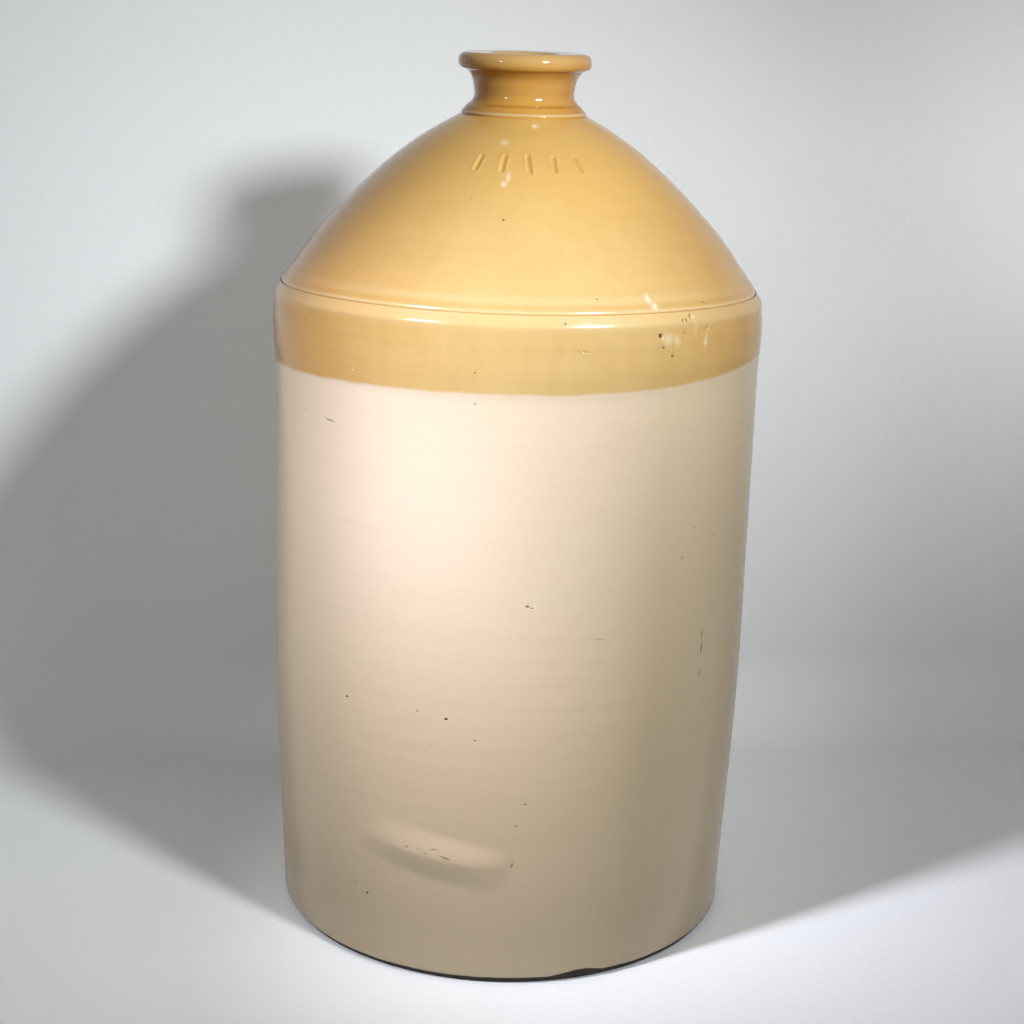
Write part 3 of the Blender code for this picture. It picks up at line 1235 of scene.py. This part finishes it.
@dataclass
class ThrownBody:
    """The thrown cylinder with its floor, its ochre band and rim, and the rebate under the shoulder."""

    top: float = BODY_TOP
    band_radius: float = BAND_RADIUS
    seat_radius: float = SEAT_RADIUS
    band_swell: float = 0.0010
    band_height: float = 0.044
    rim_drop: float = 0.0044
    rim_rise: float = 0.0020
    rim_round: float = 0.0055
    rim_edge_round: float = 0.0002
    seat_depth: float = 0.006
    clearance: float = 0.0003
    wall: float = 0.012
    floor: float = 0.016
    floor_corner: float = 0.014
    foot_taper: float = 0.0062
    foot_bevel_width: float = 0.0035
    foot_bevel_height: float = 0.0045
    foot_round: float = 0.0012
    taper_height: float = 0.142
    taper_ease: float = 0.045
    turns: int = 312
    wall_spacing: float = 0.0027
    blister_spacing: float = 0.0016
    bend_spacing: float = 0.0020
    band_spacing: float = 0.0009
    rim_spacing: float = 0.0005
    hidden_spacing: float = 0.011
    foot_clear: float = 0.02
    blister: Blister = Blister()
    blister_focus: Focus = Focus(Blister.bearing, 24.0, 0.9)
    pock_focus: Focus = Focus(37.0, 7.0, 3.2)
    rings: ThrowingRings = ThrowingRings(0.0135, 0.00003, 0.0062, 0.000012, 0.00012)

    def outline(self) -> Outline:
        """The profile from the underside's middle, up the wall and over the rim, to the floor's middle.

        Returns:
            The profile.
        """
        radius = self.band_radius - self.band_swell
        foot = radius - self.foot_taper
        inner = radius - self.wall
        rebate = self.seat_radius + self.clearance
        ledge = self.top - self.seat_depth
        foot_edge = (foot - self.foot_bevel_width, 0.0)
        foot_top = (foot, self.foot_bevel_height)
        taper_top = (radius, self.taper_height)
        band_foot = (radius, self.top - self.band_height)
        rim_top = (rebate, self.top + self.rim_rise)
        rim_edge = (radius, self.top - self.rim_drop)
        inner_top = (inner, ledge)
        inner_bend = (inner, self.taper_height)
        inner_foot = (foot - self.wall, self.floor)

        shape = Outline()
        shape.skin = Skin.UNDERSIDE
        shape.line((0.0, 0.0), foot_edge, self.hidden_spacing)
        shape.skin = Skin.OUTSIDE
        foot_first, foot_last = tangents(foot_edge, foot_top, taper_top, self.foot_round)
        shape.line(foot_edge, foot_first, self.band_spacing)
        shape.arc(foot_edge, foot_top, taper_top, self.foot_round, self.rim_spacing)
        shape.line(foot_last, towards(taper_top, foot_top, self.taper_ease), self.blister_spacing)
        shape.bend(foot_top, taper_top, band_foot, self.taper_ease, self.bend_spacing)
        shape.line(towards(taper_top, band_foot, self.taper_ease), band_foot, self.wall_spacing)
        rim_first, rim_last = tangents(band_foot, rim_edge, rim_top, self.rim_round)
        shape.bow(band_foot, rim_first, self.band_swell, self.band_spacing)
        shape.arc(band_foot, rim_edge, rim_top, self.rim_round, self.rim_spacing)
        seat_edge = (rebate, ledge)
        lip_first, lip_last = tangents(rim_edge, rim_top, seat_edge, self.rim_edge_round)
        shape.line(rim_last, lip_first, self.rim_spacing)
        shape.arc(rim_edge, rim_top, seat_edge, self.rim_edge_round, self.rim_spacing)
        shape.skin = Skin.INSIDE
        shape.line(lip_last, seat_edge, self.wall_spacing)
        shape.line(seat_edge, inner_top, self.wall_spacing)
        shape.line(inner_top, towards(inner_bend, inner_top, self.taper_ease), self.hidden_spacing)
        shape.bend(inner_top, inner_bend, inner_foot, self.taper_ease, self.hidden_spacing)
        middle = (0.0, self.floor)
        corner_first, corner_last = tangents(inner_bend, inner_foot, middle, self.floor_corner)
        shape.line(towards(inner_bend, inner_foot, self.taper_ease), corner_first, self.hidden_spacing)
        shape.arc(inner_bend, inner_foot, middle, self.floor_corner, self.wall_spacing)
        shape.line(corner_last, middle, self.hidden_spacing)
        return shape

    def build(self, materials: Sequence[bpy.types.Material]) -> bpy.types.Object:
        """Make the body and put it in its node's place.

        Args:
            materials: its outside, inside and underside.

        Returns:
            The finished piece.
        """
        bearings = spread_bearings(self.turns, (self.blister_focus, self.pock_focus))
        grid = TurnedGrid(self.outline(), bearings, looped=False)
        clear_of_foot = np.clip((grid.height - self.foot_bevel_height) / self.foot_clear, 0.0, 1.0)
        grid.relief += self.rings.lift(grid) * clear_of_foot
        grid.relief += self.blister.lift(grid)
        for pock in POCKS:
            grid.relief += pock.lift(grid)
        grid.sag += JointSag().drops(grid)
        piece = grid.mesh("thrown_body", materials)
        return settle(piece, "body")


@dataclass
class DomedShoulder:
    """The separately thrown dome that stands in the body's rebate and carries the neck."""

    foot: float = BODY_TOP
    top: float = SHOULDER_TOP
    seat_radius: float = SEAT_RADIUS
    neck_radius: float = 0.0368
    socket_radius: float = 0.0268
    seat_depth: float = 0.0057
    spigot_depth: float = 0.0073
    edge: float = 0.0028
    edge_round: float = 0.0034
    bow: float = 0.0076
    skew: float = 0.3
    wall: float = 0.010
    turns: int = 420
    slope_spacing: float = 0.0016
    tally_spacing: float = 0.0005
    edge_spacing: float = 0.0004
    hidden_spacing: float = 0.008
    edge_clear: float = 0.006
    neck_clear: float = 0.004
    tally_reach: float = 0.62
    tally_ease: float = 1.6
    tally: TallyMark = TallyMark()
    tally_focus: Focus = Focus(TallyMark.bearing, 30.0, 4.0)
    rings: ThrowingRings = ThrowingRings(0.0115, 0.00006, 0.005, 0.00002, 0.0001)

    def outline(self) -> Outline:
        """The dome's section, up its outer side, across the neck's seat and down its inner side.

        Returns:
            The profile.
        """
        base = self.foot - self.seat_depth
        slope = math.atan2(self.top - self.foot, self.seat_radius - self.neck_radius)
        level_wall = self.wall / math.sin(slope)
        inner_foot = (self.seat_radius - level_wall, base)
        inner_top = (self.socket_radius, self.top - self.spigot_depth)
        edge_foot = (self.seat_radius, base)
        edge_top = (self.seat_radius, self.foot + self.edge)
        neck_edge = (self.neck_radius, self.top)

        shape = Outline()
        shape.skin = Skin.INSIDE
        shape.line(inner_foot, edge_foot, self.hidden_spacing)
        shape.skin = Skin.OUTSIDE
        side = self._side(edge_top, neck_edge)
        above_edge = tuple(side[1])
        side_first = tangents(edge_foot, edge_top, above_edge, self.edge_round)[1]
        shape.arc(edge_foot, edge_top, above_edge, self.edge_round, self.edge_spacing)
        side = side[side[:, 1] > side_first[1]]
        shape.follow(side, self._spacing(side[:, 1]))
        shape.skin = Skin.INSIDE
        shape.line(neck_edge, (self.socket_radius, self.top), self.hidden_spacing)
        shape.line((self.socket_radius, self.top), inner_top, self.hidden_spacing)
        shape.bow(inner_top, inner_foot, -self.bow, self.hidden_spacing, -self.skew)
        return shape

    def _side(self, start: Pair, end: Pair) -> np.ndarray:
        """Close points along the bowed outer side.

        Args:
            start: the edge's (radius, height).
            end: the neck's (radius, height).

        Returns:
            The (radius, height) points.
        """
        shape = Outline()
        shape.bow(start, end, self.bow, self.edge_spacing / 2.0, self.skew)
        return shape.finish()[0]

    def _spacing(self, height: np.ndarray) -> np.ndarray:
        """How far apart the rings are: close at the tally mark, easing off on either side.

        Args:
            height: heights on the outer side.

        Returns:
            The spacing at each height.
        """
        reach = self.tally.length * self.tally_reach
        near_tally = np.clip(self.tally_ease - np.abs(height - self.tally.height) / reach, 0.0, 1.0)
        return self.slope_spacing + near_tally * (self.tally_spacing - self.slope_spacing)

    def build(self, materials: Sequence[bpy.types.Material]) -> bpy.types.Object:
        """Make the shoulder and put it in its node's place.

        Args:
            materials: its outside and inside.

        Returns:
            The finished piece.
        """
        bearings = spread_bearings(self.turns, (self.tally_focus,))
        grid = TurnedGrid(self.outline(), bearings, looped=True)
        inside_edge = np.clip((grid.height - self.foot - self.edge) / self.edge_clear, 0.0, 1.0)
        below_neck = np.clip((self.top - grid.height) / self.neck_clear, 0.0, 1.0)
        grid.relief += self.rings.lift(grid) * inside_edge * below_neck
        grid.relief += self.tally.lift(grid)
        grid.sag += JointSag().drops(grid)
        piece = grid.mesh("domed_shoulder", materials)
        pressed = piece.data.attributes.new(PRESSED, "FLOAT", "POINT")
        pressed.data.foreach_set("value", self.tally.groove(grid).astype(np.float32).ravel())
        return settle(piece, "shoulder")


@dataclass
class RolledNeck:
    """The neck ring: a spigot in the dome, a leaning bead, a waist and a rolled lip round the bore."""

    seat: float = SHOULDER_TOP
    top: float = LIP_TOP
    lip_radius: float = LIP_RADIUS
    bore: float = 0.019
    bore_round: float = 0.0025
    mouth_dip: float = 0.0006
    waist: float = 0.0298
    waist_skew: float = -0.2
    waist_fullness: float = 3.5
    foot_radius: float = 0.0368
    spigot_radius: float = 0.0265
    spigot_depth: float = 0.007
    bedding: float = 0.0001
    bead_edge: float = 0.0016
    bead_height: float = 0.0050
    bead_lean: float = 0.0030
    bead_groove: float = 0.0006
    bead_round: float = 0.0006
    lip_height: float = 0.0098
    lip_undercut: float = 0.0038
    lip_round: float = 0.0046
    turns: int = 300
    spacing: float = 0.0004
    hidden_spacing: float = 0.004
    rings: ThrowingRings = ThrowingRings(0.0085, 0.00005, 0.0034, 0.00002, 0.00008)

    def outline(self) -> Outline:
        """The neck's section, up from the spigot over the bead, waist and lip, and down the bore.

        Returns:
            The profile.
        """
        seat = self.seat - self.bedding
        spigot_foot = seat - self.spigot_depth
        bead_top = seat + self.bead_height
        lip_foot = self.top - self.lip_height
        sweep = self.lip_radius - self.lip_undercut
        edge_top = (self.foot_radius, seat + self.bead_edge)
        bead = (self.foot_radius - self.bead_lean, bead_top)
        groove = (bead[0] - self.bead_groove, bead_top + self.bead_groove)
        hollow = (groove[0] + sweep) / 2.0 - self.waist

        shape = Outline()
        shape.skin = Skin.INSIDE
        shape.line((self.bore, spigot_foot), (self.spigot_radius, spigot_foot), self.hidden_spacing)
        shape.line((self.spigot_radius, spigot_foot), (self.spigot_radius, seat), self.hidden_spacing)
        shape.line((self.spigot_radius, seat), (self.foot_radius, seat), self.hidden_spacing)
        shape.skin = Skin.OUTSIDE
        edge_foot = (self.foot_radius, seat)
        edge_last = tangents(edge_foot, edge_top, bead, self.bead_round)[1]
        shape.arc(edge_foot, edge_top, bead, self.bead_round, self.spacing)
        shape.line(edge_last, tangents(edge_top, bead, groove, self.bead_round)[0], self.spacing)
        shape.arc(edge_top, bead, groove, self.bead_round, self.spacing)
        sweep_foot = (sweep, lip_foot)
        shape.bow(groove, sweep_foot, -hollow, self.spacing, self.waist_skew, self.waist_fullness)
        lip_low = (self.lip_radius, lip_foot)
        lip_high = (self.lip_radius, self.top)
        bore_top = (self.bore, self.top - self.mouth_dip)
        bore_foot = (self.bore, spigot_foot)
        shape.arc(sweep_foot, lip_low, lip_high, self.lip_undercut, self.spacing)
        shape.arc(lip_low, lip_high, bore_top, self.lip_round, self.spacing)
        flat_first = tangents(lip_low, lip_high, bore_top, self.lip_round)[1]
        flat_last, bore_first = tangents(lip_high, bore_top, bore_foot, self.bore_round)
        shape.line(flat_first, flat_last, self.spacing)
        shape.arc(lip_high, bore_top, bore_foot, self.bore_round, self.spacing)
        shape.skin = Skin.INSIDE
        shape.line(bore_first, bore_foot, self.hidden_spacing)
        return shape

    def build(self, materials: Sequence[bpy.types.Material]) -> bpy.types.Object:
        """Make the neck and put it in its node's place.

        Args:
            materials: its outside and inside.

        Returns:
            The finished piece.
        """
        grid = TurnedGrid(self.outline(), spread_bearings(self.turns, ()), looped=True)
        grid.relief += self.rings.lift(grid)
        piece = grid.mesh("rolled_neck", materials)
        return settle(piece, "neck")


def settle(piece: bpy.types.Object, node: str) -> bpy.types.Object:
    """Put a piece in its node's place on the frame.

    Args:
        piece: the finished piece.
        node: the solid that it stands for.

    Returns:
        The piece.
    """
    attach(piece, ROOT)
    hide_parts(node)
    return piece


# Materials of the pieces: where their glaze pools or runs thin, and where shade, highlights and sheen are
# painted into the colour

# Painted sheen: the rim's upward face is paler, as lit glaze, and a little rougher.
RIM_SHINE = Change(BODY_TOP - 0.0085, BODY_TOP - 0.0035, 0.26)
# Painted shade: the band darkens at the rim's tip, in the joint under the dome's edge.
SEAM_SHADE = Change(BODY_TOP + 0.0013, BODY_TOP + 0.0019, 0.7)
# Painted shade on the dome's edge just above the joint.
DOME_FOOT_SHADE = Change(BODY_TOP + 0.0023, BODY_TOP + 0.0017, 0.5)
# Painted shade: a darker band between the painted edge highlight and the painted sheen above it.
RING_SHADE = Band(BODY_TOP + 0.0052, 0.0020, 0.18)
# Painted sheen: a paler band above the joint, as a soft reflection.
RING_SHINE = Band(BODY_TOP + 0.0085, 0.0034, 0.30)
# Painted highlight along the dome's rounded edge.
EDGE_SHINE = Band(BODY_TOP + 0.0027, 0.0014, 0.55)
UPPER_DOME = Change(BODY_TOP + 0.020, SHOULDER_TOP - 0.012, 0.7)
# Painted shade on the dome under the neck's bead.
SEAT_SHADE = Change(SHOULDER_TOP - 0.0008, SHOULDER_TOP, 0.5)
STROKE_POOL = Change(0.35, 0.85, 0.8)
STROKE_SHINE = Band(0.12, 0.12, 0.5)
GROOVE_POOL = Band(SHOULDER_TOP + 0.0061, 0.0014, 0.8)
# Painted shade under the rolled lip.
UNDER_LIP_SHADE = Band(LIP_TOP - 0.0125, 0.0050, 0.45)
# Painted highlight along the bead's edge.
BEAD_SHINE = Band(SHOULDER_TOP + 0.0017, 0.0012, 0.7)
# Painted highlight on the upper part of the lip.
LIP_SHINE = Change(LIP_TOP - 0.0085, LIP_TOP - 0.0030, 0.28)
MOUTH_SHINE = Change(0.0255, 0.0215, 0.4)
RIM_DULL = 0.15

# The neck's second colour is its painted-shade flank.
NECK_COAT = OchreCoat((0.63, 0.335, 0.072), (0.50, 0.22, 0.035), deep=(0.44, 0.20, 0.032), gloss=0.06)
LINER_COAT = OchreCoat(
    honey=(0.17, 0.09, 0.032),
    # The liner's flanks are painted darker too.
    shaded_flank=(0.15, 0.078, 0.027),
    deep=(0.09, 0.045, 0.016),
    thin=(0.26, 0.15, 0.06),
)


def dipped_wall() -> bpy.types.Material:
    """Cream glaze with the ochre dip over its top, painted shade at the seam and painted sheen on the rim,
    and a near-black foot line: bare clay where the glaze ends, darkened with painted shade.

    Returns:
        The material.
    """
    tree = GlazeTree("dipped_wall")
    ochre = OchreCoat()
    cream = CreamCoat()
    clay = BareClay()
    dipped = DipLine().mask(tree)
    level = JointSag().level(tree)
    # Painted sheen on the rim's upward face, which also makes it a little rougher.
    rim_shine = RIM_SHINE.mask(level)
    # Painted shade at the rim's tip, where it meets the dome.
    band = ochre.colour(tree, SEAM_SHADE.mask(level), rim_shine)
    wall = cream.colour(tree)
    dents = cover(tree, WALL_MARKS, Tone.DARK)
    colour = tree.mix(dipped, wall, band)
    colour = tree.mix(cover(tree, WALL_MARKS, Tone.PALE), colour, ochre.bare)
    colour = tree.mix(dents, colour, cream.iron)
    # Below the foot line the glaze ends on bare clay, painted near-black as shade under the foot's edge and
    # in the chip; the bare clay is also duller.
    wiped_and_shaded = FootLine().mask(tree)
    colour = tree.mix(wiped_and_shaded, colour, clay.shaded_bare_clay)
    gloss = cream.roughness(tree) + dipped * (ochre.gloss - cream.gloss) + rim_shine * RIM_DULL
    roughness = gloss + wiped_and_shaded * (clay.dull - cream.gloss)
    return tree.finish(colour, roughness, glaze_normal(tree, dents))


def ochre_dome() -> bpy.types.Material:
    """Ochre glaze of the shoulder, with painted shade along its foot and under the neck, painted highlights
    and sheen above the joint, and glaze pooled in the tally strokes and paler on their edges.

    Returns:
        The material.
    """
    tree = GlazeTree("ochre_dome")
    ochre = OchreCoat()
    level = JointSag().level(tree)
    pressed = tree.node("ShaderNodeAttribute", {"attribute_name": PRESSED}, {}, "Fac")
    # Painted shade along the dome's foot and in a band just above it.
    shaded_foot = DOME_FOOT_SHADE.mask(level).most(RING_SHADE.mask(level))
    # Painted shade under the neck's bead, with glaze pooled in the tally strokes.
    pooled_and_shade = shaded_foot.most(SEAT_SHADE.mask(tree.height)).most(STROKE_POOL.mask(pressed))
    # Painted sheen above the joint, strongest front and back, and a painted highlight on the dome's edge;
    # the tally strokes' edges are paler where the glaze runs thin.
    ring_shine = RING_SHINE.mask(level) * tree.two_sided(ochre.painted_light_bearing)
    thin_glaze_and_sheen = ring_shine.most(EDGE_SHINE.mask(level)).most(STROKE_SHINE.mask(pressed))
    colour = ochre.colour(tree, pooled_and_shade, thin_glaze_and_sheen)
    colour = tree.mix(UPPER_DOME.mask(tree.height), colour, ochre.amber)
    dents = cover(tree, DOME_MARKS, Tone.DARK)
    colour = tree.mix(cover(tree, DOME_MARKS, Tone.PALE), colour, ochre.bare)
    colour = tree.mix(dents, colour, ochre.iron)
    return tree.finish(colour, ochre.roughness(tree), glaze_normal(tree, dents))


def ochre_neck() -> bpy.types.Material:
    """Ochre glaze of the neck: pooled deep in the groove, painted shade under the lip, painted highlights on
    the bead's edge and the lip's top, and paler in the mouth.

    Returns:
        The material.
    """
    tree = GlazeTree("ochre_neck")
    # Glaze pooled in the groove over the bead, and painted shade under the lip.
    pooled_and_shade = GROOVE_POOL.mask(tree.height).most(UNDER_LIP_SHADE.mask(tree.height))
    # Painted highlights on the bead's edge and the lip's top.
    edges = BEAD_SHINE.mask(tree.height).most(LIP_SHINE.mask(tree.height))
    colour = NECK_COAT.colour(tree, pooled_and_shade, edges.most(MOUTH_SHINE.mask(tree.from_axis())))
    return tree.finish(colour, NECK_COAT.roughness(tree), glaze_normal(tree, 0.0))


def brown_liner() -> bpy.types.Material:
    """Thin brown slip glaze on the inside.

    Returns:
        The material.
    """
    tree = GlazeTree("brown_liner")
    colour = LINER_COAT.colour(tree, 0.0, 0.0)
    return tree.finish(colour, LINER_COAT.roughness(tree), glaze_normal(tree, 0.0))


def wire_cut_clay() -> bpy.types.Material:
    """Bare clay of the underside, with the arcs that a cutting wire leaves.

    Returns:
        The material.
    """
    tree = GlazeTree("wire_cut_clay")
    clay = BareClay()
    wire = WireCut()
    arcs = wire.arcs(tree)
    grit = tree.noise(wire.grit_size, 3.0)
    colour = tree.scaled(clay.colour(tree), wire.shade + arcs * wire.tone)
    normal = tree.bumped(arcs * wire.rise + grit, wire.depth)
    return tree.finish(colour, clay.dull + grit * wire.grit_dull, normal)


# Stage, lamps and camera


@dataclass(frozen=True)
class PaperSweep:
    """A pale paper sheet: a floor that curves up into a backdrop close behind the flagon."""

    front: float = -2.2
    back: float = 0.27
    slant: float = 0.12
    curve: float = 0.06
    rise: float = 1.7
    side: float = 2.2
    bend_points: int = 25
    side_points: int = 9
    opening: float = 0.1345
    paper: Colour = (0.94, 0.965, 0.99)
    glow: float = 0.035
    gain: float = 1.30
    bounce: float = 0.64
    dull: float = 0.7
    edge_soft: float = 0.98
    tooth_size: Triple = (0.004, 0.004, 0.004)
    tooth_shade: float = 0.985
    tooth_tone: float = 0.03
    tooth_dull: float = 0.1
    tooth_depth: float = 0.0002

    def build(self) -> bpy.types.Object:
        """Make the sheet, which shows only from its lit side.

        Its section runs along the floor, round a quarter circle and up, and is carried from side to side,
        further back by the slant for each metre. Seen from behind or below it is clear, so it hides nothing,
        and a round opening under the foot lets light reach the underside.

        Returns:
            The sheet.
        """
        angle = np.linspace(-0.5, 0.0, self.bend_points) * math.pi
        turn_y = self.back - self.curve + self.curve * np.cos(angle)
        turn_z = self.curve + self.curve * np.sin(angle)
        deep = np.concatenate(((self.front,), turn_y, (self.back,)))
        high = np.concatenate(((0.0,), turn_z, (self.rise,)))
        across = np.linspace(-self.side, self.side, self.side_points)
        back = deep[:, None] + self.slant * across[None, :]
        points = np.stack(np.broadcast_arrays(across[None, :], back, high[:, None]), axis=-1)
        index = np.arange(deep.size * across.size).reshape(deep.size, across.size)
        corners = (index[:-1, :-1], index[:-1, 1:], index[1:, 1:], index[1:, :-1])
        faces = np.stack(corners, axis=-1).reshape(-1, 4)
        sheet = mesh_object("paper_sweep", points.reshape(-1, 3), faces, np.zeros(len(faces)))
        sheet.data.materials.append(self._paper())
        return sheet

    def _paper(self) -> bpy.types.Material:
        """Pale paper with a faint tooth, lightened where it is seen or reflected and clear from behind.

        Returns:
            The material.
        """
        tree = GlazeTree("paper")
        ray = tree.node("ShaderNodeLightPath", {}, {}).socket.node
        kinds = ("Is Camera Ray", "Is Glossy Ray", "Is Transmission Ray")
        seen = functools.reduce(Shade.most, [Shade(tree, ray.outputs[kind]) for kind in kinds])
        tooth = tree.noise(self.tooth_size)
        shown = self.bounce + seen * (self.gain - self.bounce)
        colour = tree.scaled(self.paper, (self.tooth_shade + tooth * self.tooth_tone) * shown)
        tree.finish(colour, self.dull + tooth * self.tooth_dull, tree.bumped(tooth, self.tooth_depth))
        tree.feed(tree.shader.inputs["Emission Color"], tree.scaled(self.paper, seen * self.glow))
        tree.feed(tree.shader.inputs["Emission Strength"], 1.0)
        behind = tree.node("ShaderNodeNewGeometry", {}, {}, "Backfacing")
        hidden = behind.most(tree.from_axis().ramp(self.opening, self.opening * self.edge_soft))
        clear = tree.node("ShaderNodeBsdfTransparent", {}, {})
        front = Shade(tree, tree.shader.outputs[0])
        sheet = tree.node("ShaderNodeMixShader", {}, {0: hidden, 1: front, 2: clear})
        tree.feed(tree.nodes["Material Output"].inputs["Surface"], sheet)
        return tree.material


@dataclass(frozen=True)
class SoftLamp:
    """A round diffused lamp aimed at a point of the flagon."""

    name: str
    place: Triple
    aim: Triple
    width: float
    power: float
    spread: float
    tint: Colour = (1.0, 1.0, 1.0)

    def build(self) -> bpy.types.Object:
        """Make the lamp.

        Returns:
            The lamp's object.
        """
        data = bpy.data.lights.new(self.name, "AREA")
        data.shape = "DISK"
        data.size = self.width
        data.energy = self.power
        data.color = self.tint
        data.spread = math.radians(self.spread)
        lamp = bpy.data.objects.new(self.name, data)
        lamp.location = self.place
        lamp.visible_camera = False
        lamp.rotation_euler = (Vector(self.aim) - Vector(self.place)).to_track_quat("-Z", "Y").to_euler()
        bpy.context.scene.collection.objects.link(lamp)
        return lamp


WORLD_LEVEL = 0.15
WORLD_TINT = (1.0, 0.96, 0.91)

LAMPS = (
    SoftLamp("left_beam", (-0.442, -0.490, 0.70), (0.0, -0.12, 0.225), 0.09, 0.30, 38.0, (1.0, 1.02, 1.14)),
    SoftLamp("left_fill", (-0.442, -0.490, 0.70), (-0.03, -0.12, 0.29), 0.065, 0.33, 180.0),
    SoftLamp("right_beam", (0.403, -0.597, 0.78), (0.0, -0.12, 0.44), 0.13, 0.67, 60.0, (0.98, 1.03, 1.05)),
    SoftLamp("right_fill", (0.403, -0.597, 0.78), (0.06, -0.12, 0.42), 0.13, 0.84, 180.0),
    SoftLamp("backdrop_lamp", (0.80, -0.05, 0.55), (0.28, 0.305, 0.38), 0.20, 0.17, 60.0),
)


def light_world(level: float, tint: Colour) -> None:
    """Light the scene evenly from all round.

    Args:
        level: the strength.
        tint: the colour.
    """
    world = bpy.data.worlds.new("studio")
    world.use_nodes = True
    background = world.node_tree.nodes["Background"]
    background.inputs["Color"].default_value = (*tint, 1.0)
    background.inputs["Strength"].default_value = level
    bpy.context.scene.world = world


@dataclass(frozen=True)
class PhotoCamera:
    """The photograph's camera: a little above the lip, looking down, with a slight roll."""

    focal_pixels: float = 1950.0
    image_pixels: float = 1024.0
    sensor: float = 36.0
    side: float = 0.0003
    distance: float = 1.1639
    height: float = 0.5654
    down: float = 15.26
    roll: float = 1.75

    def build(self) -> bpy.types.Object:
        """Make the camera and use it.

        Returns:
            The camera's object.
        """
        data = bpy.data.cameras.new("photo_camera")
        data.sensor_fit = "HORIZONTAL"
        data.sensor_width = self.sensor
        data.lens = self.focal_pixels / self.image_pixels * self.sensor
        camera = bpy.data.objects.new("photo_camera", data)
        pitch = Matrix.Rotation(math.radians(90.0 - self.down), 4, "X")
        roll = Matrix.Rotation(math.radians(self.roll), 4, "Z")
        camera.matrix_world = Matrix.Translation((self.side, -self.distance, self.height)) @ pitch @ roll
        bpy.context.scene.collection.objects.link(camera)
        bpy.context.scene.camera = camera
        return camera


def main() -> None:
    """Build the camera, the stage and the three pieces, and report each one."""
    logging.basicConfig(level=logging.INFO, format="%(name)s: %(message)s")
    scene = bpy.context.scene
    scene.view_settings.view_transform = "Standard"
    PhotoCamera().build()
    light_world(WORLD_LEVEL, WORLD_TINT)
    for lamp in LAMPS:
        lamp.build()
    PaperSweep().build()
    liner = brown_liner()
    ThrownBody().build((dipped_wall(), liner, wire_cut_clay()))
    DomedShoulder().build((ochre_dome(), liner))
    RolledNeck().build((ochre_neck(), liner))
    log.info("finished with %d pieces", len(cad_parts))


if __name__ == "__main__":
    main()
